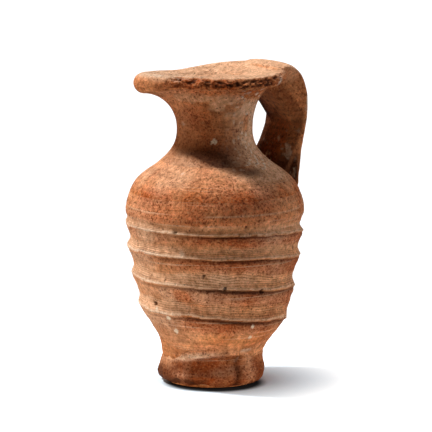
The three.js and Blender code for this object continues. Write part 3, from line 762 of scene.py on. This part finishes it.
lip_radius, rim_height, lip_thickness = mouth(angles)
lip_seat = rim_height - lip_thickness
throat_radius = THROAT_RADIUS + (CHANNEL_REACH - THROAT_RADIUS) * lobe(angles, SPOUT_ANGLE, CHANNEL_SPREAD)
lip_dish = LIP_DISH + (LIP_NEAR_DISH - LIP_DISH) * lobe(angles, LIP_NEAR_ANGLE, LIP_NEAR_SPREAD)
print("mouth's radius in mm:", round(float(lip_radius.min()), 1), "to", round(float(lip_radius.max()), 1))

# %% [markdown]
# ## Neck
# The trumpet between the collar and the lip. It flares on a quarter of an ellipse whose far end follows the
# plan of the mouth, so the round neck runs smoothly out into the spout. A loft through rings would need many
# of them for the same line.

# %% Neck mesh
NECK_ROWS, FLARE_ROWS = 30, 44


def flare(start, end_radius, end_height):
    """Rows of a quarter ellipse from one point out to a place that changes with the angle."""
    turn = np.linspace(0, np.pi / 2, FLARE_ROWS)[:, None]
    radius = start[0] + (end_radius - start[0]) * (1 - np.cos(turn))
    height = start[1] + (end_height - start[1]) * np.sin(turn)
    return np.stack([radius, height + 0 * radius], axis=-1)


neck_line = spread(wall_at(np.linspace(DOME_TOP, THROAT_TOP, NECK_ROWS)))
neck_flare = flare((NECK_RADIUS, NECK_HEIGHT), lip_radius - lip_thickness / 2, lip_seat)
neck_outer = np.concatenate([neck_line[:-1], neck_flare])
neck_outer += outward(neck_outer) * hand_relief(turned_points(neck_outer))[..., None]
bore_line = wall_at(np.linspace(DOME_TOP + SCARF, THROAT_TOP, 12), depth=1)
bore_flare = flare(bore_line[-1], throat_radius, lip_seat)[::2]
neck_inner = np.concatenate([spread(bore_line[:-1]), bore_flare])[::-1]
neck_profile = np.concatenate([neck_outer, neck_inner])
neck = turned_piece("flared_neck", neck_profile)

# %% Neck masks
neck_points = turned_points(neck_profile)
neck_height = neck_profile[..., 1]
dust, soil, lime = weather(neck_points, facing_up(neck_outer, neck_inner))
in_shade = press(angles, -134, 52) * (1 - step(88, 101, neck_height)) * step(-1.5, 1.2, neck_height - shade_line)
under_lip = step(104, 109, neck_height) * (1 - step(113.5, 116.5, neck_height)) * press(angles, -125, 62)
dragged = drawn_out(neck_points, 0.6, 1.3)
smeared = under_lip * step(-0.05, 0.3, uneven(dragged, 4.5, 36) + 0.4 * uneven(dragged, 1.6, 47))
right_side = press(angles, -63, 29)
# painted shade: the neck darker below the flare, under the lip, and the painted shadow of the lip along the slanting
# line
soil = 0.5 * soil + 0.32 * (1 - step(104, 110, neck_height)) + in_shade
soil += 0.45 * under_lip * step(0.0, 0.35, uneven(dragged, 3.6, 49)) * (1 - smeared)
soil *= 1 - 0.85 * right_side
dust += 0.65 * smeared + 0.3 * press(angles, 178, 34) * step(92, 97, neck_height)
dust += 1.1 * right_side * step(-1.1, -0.4, uneven(neck_points, 5, 24)) * (1 - step(108, 114, neck_height))
lime += 0.9 * right_side * step(0.4, 0.6, uneven(neck_points, 1.1, 46))
lime += 0.9 * crisp(spot(neck_points, on_wall(-124, 96.6, 14.9), 1.3), neck_points, 27)
# the pale chip on the flare is lime with a painted highlight on it
lime += 1.4 * crisp(spot(neck_points, on_wall(-88, 113, 19.6), 0.7, 2.6), neck_points, 28)
red = 0.6 - 0.2 * press(angles, 175, 40) - 0.3 * smeared + 0.3 * uneven(neck_points, 14, 20)
paint(neck, dust=dust, soil=soil, lime=lime, red=red)

# %% [markdown]
# ## Lip
# A thick rolled coil. Along the front its face has spalled off: it is rough, pitted and dark with soil,
# while the top is worn smooth and pale. Bump alone would leave its outline smooth, so the spall is cut into
# the mesh.

# %% Lip mesh
NOSE_ROWS = 24
half_lip = lip_thickness / 2
turn = np.linspace(-np.pi / 2, np.pi / 2, NOSE_ROWS)[:, None]
nose = np.stack([
    lip_radius - half_lip + half_lip * np.cos(turn), rim_height - half_lip + half_lip * np.sin(turn),
], axis=-1)


def dish_line(i):
    """The top of the lip at one angle: level, then dished down to the throat, round its edge and in."""
    crest, rim, wall = lip_radius[i] - half_lip[i], rim_height[i], throat_radius[i]
    edge = rim - lip_dish[i]
    dish = bezier([(crest, rim), (crest - LIP_LEVEL, rim), (wall + LIP_EDGE_ROUND, edge)], 30)[1:]
    over = bezier([dish[-1], (wall, edge), (wall, edge - LIP_EDGE_ROUND)], 7)[1:]
    down = bezier([over[-1], (wall, (edge + lip_seat[i]) / 2), (wall, lip_seat[i])], 6)[1:]
    return np.concatenate([dish, over, down])


lip_profile = np.concatenate([nose, np.stack([dish_line(i) for i in range(SEGMENTS)], axis=1)])
lip_where = turned_points(lip_profile)
rows = np.arange(len(lip_profile))[:, None]
nose_share = rows / (NOSE_ROWS - 1)  # 0 at the seat, 1 at the rim, and more on the top
on_face = step(0.06, 0.25, nose_share) * (1 - step(0.82, 1.0, nose_share + 0.16 * uneven(lip_where, 1.8, 34)))
spalled = on_face * step(-0.1, 0.2, press(angles, -109, 62) - 0.35 + 0.12 * uneven(lip_where, 5, 31))
layered = drawn_out(lip_where, 1, 2.2)
bite = spalled * (0.45 + 0.5 * uneven(layered, 2.8, 32) + 0.6 * uneven(layered, 1.2, 33))
lip_push = (hand_relief(lip_where) - bite) * (1 - step(0.9, 1.0, rows / (len(lip_profile) - 1)))
lip_profile += outward(lip_profile) * lip_push[..., None]
lip = turned_piece("rolled_lip", lip_profile)

# %% Lip masks
lip_points = turned_points(lip_profile)
lip_up = outward(lip_profile)[..., 1]
dust, soil, lime = weather(lip_points, lip_up)
lip_top = step(0.6, 0.95, lip_up)
front_top = step(0.95, 1.1, nose_share) * (1 - step(1.4, 1.75, nose_share)) * press(angles, -108, 55)
# painted light: the top of the lip paler on the left, over the spout
dust = (1.15 * dust + 0.1 + 0.35 * lip_top * press(angles, 168, 55)) * (1 - 0.9 * spalled)
soil += 0.9 * front_top * step(0.3, 0.5, uneven(lip_points, 2.0, 39) + 0.4 * uneven(lip_points, 0.8, 40))
soil += spalled * (0.15 + 0.85 * step(0.0, 0.35, bite - 0.38))
# painted light: pale lime on the top of the spout
lime += 0.3 * lip_top * press(angles, 168, 45)
lime += 0.9 * spot(lip_points, on_wall(-53, 119.4, 26.5), 1.5) + 0.5 * spot(lip_points, on_wall(150, 122, 14), 4.0)
paint(lip, dust=dust, soil=soil, lime=lime, red=0.3 + 0.5 * spalled)

# %% [markdown]
# ## Handle
# A pulled strap, laid over the rim and pressed on to the shoulder, with a coil of clay worked into each
# inner corner. On the real jug all three run into one another and into the wall. The strap is swept down
# its path, and the coils, which thin out at both ends, and a thin plug under the wall's skin are added. A
# fine voxel remesh melts them into one skin, whose corners are then smoothed to soft hollows, as wet
# fingers leave them. Joining them with booleans would leave hard creases instead.

# %% Path of the strap
STRAP_WIDTH, STRAP_THICKNESS = 25, 4.9
STRAP_REACH, STRAP_REACH_HEIGHT = 37, 107
STRAP_RISE, STRAP_LAP, STRAP_LAP_THICKNESS, STRAP_LAP_WIDTH = 3.6, 7.4, 1.3, 30
STRAP_FOOT_RADIUS, STRAP_FOOT_HEIGHT, STRAP_SPLAY, STRAP_WRAP = 30.2, 76.6, 1.2, 0.4
ARCH_FULLNESS, ARCH_LIFT, BEND_DROP = 0.5, 1.3, 0.2
FALL_EASE, FALL_SWAY = 0.36, 0.5
PATH_POINTS, STRAP_STEPS, STRAP_SIDES = 300, 120, 72

middle = STRAP_REACH - STRAP_THICKNESS / 2
arch_top = RIM_HEIGHT + STRAP_RISE - STRAP_THICKNESS / 2
lap_start = float(mouth(np.array(0.0))[0]) - STRAP_LAP
drop = STRAP_REACH_HEIGHT - STRAP_FOOT_HEIGHT
over = bezier([
    (lap_start, RIM_HEIGHT + STRAP_LAP_THICKNESS / 2),
    (lap_start + ARCH_FULLNESS * (middle - lap_start), arch_top + ARCH_LIFT),
    (middle + FALL_SWAY, arch_top + BEND_DROP * (STRAP_REACH_HEIGHT - arch_top)),
    (middle, STRAP_REACH_HEIGHT),
], PATH_POINTS)
fall = bezier([
    (middle, STRAP_REACH_HEIGHT),
    (middle - FALL_SWAY, STRAP_REACH_HEIGHT - FALL_EASE * drop),
    (STRAP_FOOT_RADIUS - FALL_SWAY, STRAP_FOOT_HEIGHT + FALL_EASE * drop),
    (STRAP_FOOT_RADIUS, STRAP_FOOT_HEIGHT),
], PATH_POINTS)
path = np.concatenate([over, fall[1:]])
gone = distance_along(path)
share = np.linspace(0, 1, STRAP_STEPS)
strap_line = np.column_stack([np.interp(share * gone[-1], gone, path[:, i]) for i in (0, 1)])
tangent = np.gradient(strap_line, axis=0)
tangent /= np.linalg.norm(tangent, axis=1, keepdims=True)
print("length of the strap in mm:", round(float(gone[-1]), 1))

# %% Strap
LAP_END, SPLAY_START, SQUARENESS = 0.22, 0.72, 0.72
STRAP_BED, BED_END = 3.0, 0.34
LAP_SHIFT = 2.0  # the far corner of the lap was smeared away into the rim


def squared(wave):
    """A sine or cosine filled out, so that the section is a strap with round edges."""
    return np.sign(wave) * np.abs(wave) ** SQUARENESS


past_lap = step(0, LAP_END, share)
at_foot = step(SPLAY_START, 1, share)
splay = 1 + (STRAP_SPLAY - 1) * at_foot
half_width = (STRAP_LAP_WIDTH + (STRAP_WIDTH - STRAP_LAP_WIDTH) * past_lap) * splay / 2
half_thick = (STRAP_LAP_THICKNESS + (STRAP_THICKNESS - STRAP_LAP_THICKNESS) * past_lap) / 2
bed = STRAP_BED * (1 - step(LAP_END, BED_END, share))
lap_shift = LAP_SHIFT * (1 - step(0, BED_END, share))
turn = np.linspace(0, 2 * np.pi, STRAP_SIDES, endpoint=False)
across, side = squared(np.cos(turn)), squared(np.sin(turn))
lifted = side * (half_thick[:, None] + np.where(side < 0, bed[:, None], 0))
strap_y = across * (half_width - lap_shift)[:, None] - lap_shift[:, None]
wrap = STRAP_WRAP * at_foot[:, None] * (STRAP_FOOT_RADIUS - np.sqrt(STRAP_FOOT_RADIUS ** 2 - strap_y ** 2))
strap = np.stack([
    strap_line[:, :1] - tangent[:, 1:] * lifted - wrap,
    strap_y,
    strap_line[:, 1:] + tangent[:, :1] * lifted,
], axis=-1)
print("width of the strap in mm:", round(float(2 * half_width.min()), 1), "to", round(float(2 * half_width.max()), 1))

# %% Coils
UPPER_COIL_DOWN, UPPER_COIL_IN, UPPER_COIL_FAR_END = -27, 20, 12.2
LOWER_COIL_UP, LOWER_COIL_IN, LOWER_COIL_FAR_END = 25, 11, 12.5
COIL_BEDDING = 2.0  # how far a coil goes into what it is pressed against
COIL_NEAR_END, COIL_FULLNESS = -12.25, 0.35
COIL_THINNED, COIL_TAIL = 0.3, 0.6  # how much of it is gone at the near end and at the far end
INNER_FACE = STRAP_REACH - STRAP_THICKNESS + 0.8
UPPER_CORNER = (INNER_FACE, RIM_HEIGHT - LIP_THICKNESS / 2)
LOWER_CORNER = (INNER_FACE - 2.8, 80.5)


def worked_coil(corner, down, inward, far_end):
    """A coil pressed into a corner of the strap: three sides, the free one hollowed by the finger."""
    x, z = corner
    free = bezier([
        (x + COIL_BEDDING, z + down), (x - COIL_FULLNESS * inward, z + COIL_FULLNESS * down), (x - inward, z),
    ], 20)
    back = bezier([free[-1], (x + COIL_BEDDING, z - math.copysign(COIL_BEDDING, down)), free[0]], 10)[1:-1]
    section = np.concatenate([free, back])
    along = np.linspace(COIL_NEAR_END, far_end, 33)[:, None]
    thinned = 1 - COIL_THINNED * step(0.7, 1, along / COIL_NEAR_END) - COIL_TAIL * step(0.6, 1, along / far_end)
    return np.stack([
        x + COIL_BEDDING + (section[:, 0] - x - COIL_BEDDING) * thinned,
        along + 0 * section[:, 0],
        z + (section[:, 1] - z) * thinned,
    ], axis=-1)


upper_coil = worked_coil(UPPER_CORNER, UPPER_COIL_DOWN, UPPER_COIL_IN, UPPER_COIL_FAR_END)
lower_coil = worked_coil(LOWER_CORNER, LOWER_COIL_UP, LOWER_COIL_IN, LOWER_COIL_FAR_END)
print("length of the coils in mm:", UPPER_COIL_FAR_END - COIL_NEAR_END, LOWER_COIL_FAR_END - COIL_NEAR_END)

# %% Plug under the wall's skin
PLUG_DEPTH, PLUG_WALL, PLUG_START = 0.5, 1.4, 4
PLUG_HALF_ANGLE, PLUG_STEPS = 44, 60
PLUG_INSETS, PLUG_SLOPE = (1.5, 3, 4.5), 0.12  # where it runs in over the rim, and how it falls there
plug_angles = np.radians(np.linspace(-PLUG_HALF_ANGLE, PLUG_HALF_ANGLE, PLUG_STEPS))
plug_radius, plug_rim, plug_thickness = mouth(plug_angles)
plug_half = plug_thickness / 2
plug_run = wall_at(np.linspace(BODY_TOP - PLUG_START, THROAT_TOP, PLUG_STEPS))
plug_wall = np.repeat(plug_run[:, None, :], PLUG_STEPS, axis=1)
plug_flare = flare((NECK_RADIUS, NECK_HEIGHT), plug_radius - plug_half, plug_rim - plug_thickness)
turn = np.linspace(-np.pi / 2, np.pi / 2, 16)[1:, None]
plug_nose = np.stack([plug_radius + plug_half * (np.cos(turn) - 1), plug_rim + plug_half * (np.sin(turn) - 1)], axis=-1)
plug_top = np.stack([plug_nose[-1] - np.array((inset, PLUG_SLOPE * inset)) for inset in PLUG_INSETS])
plug_line = np.concatenate([plug_wall, plug_flare[1:], plug_nose, plug_top])
plug_out = outward(plug_line)
skin_out = turned_points(plug_line - plug_out * PLUG_DEPTH, plug_angles)
skin_in = turned_points(plug_line - plug_out * (PLUG_DEPTH + PLUG_WALL), plug_angles)
plug = np.concatenate([skin_out, skin_in[:, ::-1]], axis=1)
print("plug has", plug.shape[0], "rows of", plug.shape[1], "points")

# %% Melt into one skin
VOXEL = 0.5
SMOOTHING, SMOOTHINGS = 0.5, 16
points, faces = [], []
for rings in (strap, plug, upper_coil, lower_coil):
    steps, sides = rings.shape[:2]
    grid = np.arange(steps * sides).reshape(steps, sides) + sum(len(p) for p in points)
    faces += skin_faces(grid[:-1], grid[1:]) + [grid[0][::-1].tolist(), grid[-1].tolist()]
    points.append(rings.reshape(-1, 3))
lumps = bpy.data.meshes.new("handle lumps")
lumps.from_pydata((np.concatenate(points) * MM).tolist(), [], faces)
handle = bpy.data.objects.new("strap_handle", lumps)
bpy.context.scene.collection.objects.link(handle)
melt = handle.modifiers.new("melt", "REMESH")
melt.mode = "VOXEL"
melt.voxel_size = VOXEL * MM
wet = handle.modifiers.new("wet fingers", "SMOOTH")
wet.factor = SMOOTHING
wet.iterations = SMOOTHINGS
bpy.context.view_layer.update()
melted = bpy.data.meshes.new_from_object(handle.evaluated_get(bpy.context.evaluated_depsgraph_get()))
handle.modifiers.clear()
handle.data = melted
melted.name = "strap_handle"
melted.polygons.foreach_set("use_smooth", [True] * len(melted.polygons))
print("strap_handle has", len(melted.polygons), "faces")

# %% Handle surface
handle_points = np.empty(len(melted.vertices) * 3)
melted.vertices.foreach_get("co", handle_points)
handle_points = handle_points.reshape(-1, 3) / MM
handle_normals = np.array([n.vector for n in melted.vertex_normals])
handle_push = hand_relief(handle_points) + 0.12 * uneven(handle_points, 4, 41)
melted.vertices.foreach_set("co", ((handle_points + handle_normals * handle_push[:, None]) * MM).ravel())
melted.update()
print("most that the hand moved it in mm:", round(float(np.abs(handle_push).max()), 2))

# %% Handle masks
x, y, z = handle_points.T
faces_x, faces_y, faces_z = handle_normals.T
dust, soil, lime = weather(handle_points, faces_z)
inner_side = step(0.3, 0.8, -faces_x)
edge_side = step(0.4, 0.8, np.abs(faces_y)) * (1 - step(115, 121, z))
outer_edge = step(0.1, 0.5, -faces_y) * step(34, 35.5, x) * step(99, 103, z)
in_the_loop = step(0.05, 0.5, -faces_x) * (1 - step(113, 118, z))
far_side = step(0, 8, y) * in_the_loop
in_the_corner = (1 - step(80, 94, z)) * (1 - step(0.2, 0.7, faces_x))
flecks = step(0.4, 0.7, uneven(handle_points, 3.2, 42) + 0.5 * uneven(handle_points, 1.1, 43))
# painted shade inside the loop: no pale dust there, darker and redder on its far side, darker in the lower corner and a
# little on the edges
dust *= 1 - in_the_loop
dust += 0.3 * step(116, 119, z) * (1 - step(29, 33, x))
soil += 0.3 * in_the_loop + 0.8 * far_side + 0.8 * in_the_corner + 0.15 * edge_side
lime += 0.8 * flecks * inner_side * (1 - step(2, 6, y)) * (1 - step(95, 100, z))
lime += 1.2 * outer_edge * step(0.1, 0.35, uneven(handle_points, 2.2, 48))
red = 0.35 - 0.2 * inner_side + 0.9 * far_side + 0.3 * uneven(handle_points, 14, 20)
paint(handle, dust=dust, soil=soil, lime=lime, red=red)

# %% [markdown]
# ## Terracotta
# Low-fired red earthenware, unglazed: iron makes it orange, the firing was uneven, and long burial left it
# matt and stained. It is one material on every piece. It reads the masks for dust with painted highlights,
# soil with painted shade, lime and comb lines, and breaks them up with grain and grit whose sizes are given
# in millimetres. Pictures of clay would need unwrapping and would repeat; noise in space runs on from piece
# to piece.

# %% Patterns and masks of the terracotta
MOTTLE_MM, GRAIN_MM, GRIT_MM, STONE_MM = 9.0, 1.9, 0.8, 2.6
STREAK_LENGTH_MM, STREAK_MM = 40.0, 1.1
SCRATCH_LENGTH_MM, SCRATCH_MM = 45.0, 0.7

terracotta = bpy.data.materials.new("unglazed terracotta")
terracotta.use_nodes = True
tree = terracotta.node_tree
tree.nodes.clear()
in_mm = add(tree, "VectorMath", {0: add(tree, "TexCoord", out="Object"), "Scale": 1 / MM}, operation="SCALE")
mottle, grain, grit = [
    add(tree, "TexNoise", {"Vector": in_mm, "Scale": 1 / size, "Detail": detail, "Roughness": roughness})
    for size, detail, roughness in ((MOTTLE_MM, 4.0, 0.6), (GRAIN_MM, 5.0, 0.75), (GRIT_MM, 2.0, 0.6))
]
streak, scratches = [
    add(tree, "TexNoise", {"Scale": 1.0, "Detail": detail, "Vector": add(
        tree, "VectorMath", {0: in_mm, 1: (1 / length, 1 / length, 1 / width)}, operation="MULTIPLY",
    )})
    for length, width, detail in ((STREAK_LENGTH_MM, STREAK_MM, 2.0), (SCRATCH_LENGTH_MM, SCRATCH_MM, 1.0))
]
stones = add(tree, "TexVoronoi", {"Vector": in_mm, "Scale": 1 / STONE_MM, "Randomness": 1.0}, "Distance")
red_mask, dust_mask, comb_mask, soil_mask, lime_mask = [
    add(tree, "Attribute", out="Fac", attribute_name=name) for name in ("red", "dust", "comb", "soil", "lime")
]
level = add(tree, "SeparateXYZ", {0: in_mm}, 2)
print("patterns and masks:", len(tree.nodes), "nodes")

# %% Red clay, dust with painted highlights, and comb lines
COMB_LINES = 14  # to one turn of the ridge, so about 0.7 mm apart
COMB_WAVER, COMB_STRENGTH = 5.0, 0.55
mottled = add(tree, "MapRange", {0: mottle, 1: 0.3, 2: 0.7, 3: -0.35, 4: 0.35})
redder = add(tree, "Math", {0: red_mask, 1: mottled}, operation="ADD", use_clamp=True)
broken = add(tree, "MapRange", {0: grain, 1: 0.3, 2: 0.62, 3: 0.45, 4: 1.0})
dusty = add(tree, "Math", {0: dust_mask, 1: broken}, operation="MULTIPLY")
turns_at = add(tree, "SeparateXYZ", {0: add(tree, "UVMap", uv_map="spiral")}, 1)
line_turn = add(tree, "Math", {0: turns_at, 1: 2 * math.pi * COMB_LINES}, operation="MULTIPLY")
waver = add(tree, "Math", {0: mottle, 1: COMB_WAVER, 2: line_turn}, operation="MULTIPLY_ADD")
line = add(tree, "Math", {0: waver}, operation="SINE")
line_dark = add(tree, "MapRange", {0: line, 1: 0.1, 2: 0.9})
combed = add(tree, "Math", {0: line_dark, 1: comb_mask}, operation="MULTIPLY")
comb_share = add(tree, "Math", {0: combed, 1: COMB_STRENGTH}, operation="MULTIPLY")
print("comb lines of the first turn in mm:", round(RIDGE_PITCH / COMB_LINES, 2), "apart")

# %% Specks, scratches and shade
SCRATCHED_BELOW, SCRATCH_FREE = 80.0, 85.0  # heights between which the scratches end
speck_share = add(tree, "MapRange", {0: redder, 1: 0.1, 2: 0.7, 3: 0.25, 4: 0.9})
specked = add(tree, "MapRange", {0: grit, 1: 0.54, 2: 0.66})
specks = add(tree, "Math", {0: specked, 1: speck_share}, operation="MULTIPLY")
below_neck = add(tree, "MapRange", {0: level, 1: SCRATCHED_BELOW, 2: SCRATCH_FREE, 3: 0.6, 4: 0.0})
scratched = add(tree, "MapRange", {0: scratches, 1: 0.66, 2: 0.72})
scratch = add(tree, "Math", {0: scratched, 1: below_neck}, operation="MULTIPLY")
streaky = add(tree, "MapRange", {0: streak, 1: 0.25, 2: 0.75, 3: 0.84, 4: 1.26})
gritty = add(tree, "MapRange", {0: grain, 1: 0.34, 2: 0.66, 3: 0.5, 4: 1.5})
uncovered = add(tree, "Math", {0: streaky, 1: gritty}, operation="MULTIPLY")
under_dust = add(tree, "Math", {0: dust_mask, 1: 0.5}, operation="MULTIPLY")
shade = add(tree, "Mix", {0: under_dust, 2: uncovered, 3: 1.0})
print("with specks and shade:", len(tree.nodes), "nodes")

# %% Soil with painted shade, pale grains, holes, and lime with painted highlights
caught = add(tree, "MapRange", {0: grain, 1: 0.35, 2: 0.6, 3: 0.65, 4: 1.0})
filled = add(tree, "MapRange", {0: soil_mask, 1: 0.5, 2: 1.0, 3: 0.6, 4: 0.9})
held = add(tree, "Math", {0: caught, 1: filled}, operation="MAXIMUM")
soiled = add(tree, "Math", {0: soil_mask, 1: held}, operation="MULTIPLY")
pale = add(tree, "MapRange", {0: grit, 1: 0.46, 2: 0.33})
pale_share = add(tree, "MapRange", {0: redder, 1: 0.1, 2: 0.7, 3: 0.25, 4: 0.75})
clean = add(tree, "MapRange", {0: soil_mask, 3: 1.0, 4: 0.1})
clean_pale = add(tree, "Math", {0: pale, 1: clean}, operation="MULTIPLY")
grains = add(tree, "Math", {0: clean_pale, 1: pale_share}, operation="MULTIPLY")
hole = add(tree, "MapRange", {0: stones, 1: 0.06, 2: 0.17, 3: 0.7, 4: 0.0})
crust = add(tree, "MapRange", {0: grain, 1: 0.38, 2: 0.6, 3: 0.25, 4: 1.1})
limed = add(tree, "Math", {0: lime_mask, 1: crust}, operation="MULTIPLY", use_clamp=True)
print("with soil and lime:", len(tree.nodes), "nodes")

# %% Colours of the terracotta, laid over one another
CLAY_RED, CLAY_ORANGE, SPECK, GRAIN = "#ba5d2a", "#dd9560", "#6c3317", "#cf9568"
DUST_AND_HIGHLIGHT, SOIL_AND_SHADE, LIME_AND_HIGHLIGHT, COMB = "#efc39f", "#431f0b", "#f4e6d0", "#86501f"
clay = add(tree, "Mix", {0: redder, 6: linear(CLAY_ORANGE), 7: linear(CLAY_RED)}, COLOUR_OUT, data_type="RGBA")
# the pale dust colour also lays the painted highlights
for amount, colour in ((dusty, DUST_AND_HIGHLIGHT), (comb_share, COMB), (specks, SPECK), (scratch, DUST_AND_HIGHLIGHT)):
    clay = add(tree, "Mix", {0: amount, 6: clay, 7: linear(colour)}, COLOUR_OUT, data_type="RGBA")
clay = add(tree, "VectorMath", {0: clay, "Scale": shade}, operation="SCALE")
# the dark soil colour also lays the painted shade, and the pale lime colour painted highlights
for amount, colour in ((soiled, SOIL_AND_SHADE), (grains, GRAIN), (hole, SOIL_AND_SHADE), (limed, LIME_AND_HIGHLIGHT)):
    clay = add(tree, "Mix", {0: amount, 6: clay, 7: linear(colour)}, COLOUR_OUT, data_type="RGBA")
print("with colours:", len(tree.nodes), "nodes")

# %% Surface of the terracotta
GRIT_HEIGHT_MM, GRAIN_HEIGHT_MM, STREAK_HEIGHT_MM = -0.6, 1.3, 0.35
COMB_DEPTH_MM, HOLE_DEPTH_MM = 0.25, 0.3
relief = add(tree, "Math", {0: grit, 1: GRIT_HEIGHT_MM}, operation="MULTIPLY")
for pattern, rise in (
    (grain, GRAIN_HEIGHT_MM), (combed, -COMB_DEPTH_MM), (streak, STREAK_HEIGHT_MM), (hole, -HOLE_DEPTH_MM),
):
    relief = add(tree, "Math", {0: pattern, 1: rise, 2: relief}, operation="MULTIPLY_ADD")
bump = add(tree, "Bump", {"Strength": 1.0, "Distance": MM, "Height": relief})
matt = add(tree, "MapRange", {0: grain, 1: 0.3, 2: 0.7, 3: 0.96, 4: 0.78})
surface = add(tree, "BsdfPrincipled", {
    "Base Color": clay, "Roughness": matt, "IOR": 1.45, "Specular IOR Level": 0.15, "Normal": bump,
})
add(tree, "OutputMaterial", {"Surface": surface})
print(terracotta.name, "has", len(tree.nodes), "nodes")

# %% [markdown]
# ## On to the frame
# Every piece rides on the jug's one body and stands for its own solids. The handle stands for the strap and
# for both coils, because they are one skin here.

# %% Ride, replace and finish
for piece, solids in (
    (body, ["body"]),
    (foot_ring, ["foot_ring"]),
    (shoulder, ["shoulder"]),
    (neck, ["neck"]),
    (lip, ["lip"]),
    (handle, ["handle", "upper_luting_coil", "lower_luting_coil"]),
):
    piece.data.materials.clear()
    piece.data.materials.append(terracotta)
    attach(piece, "root")
    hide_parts(*solids)
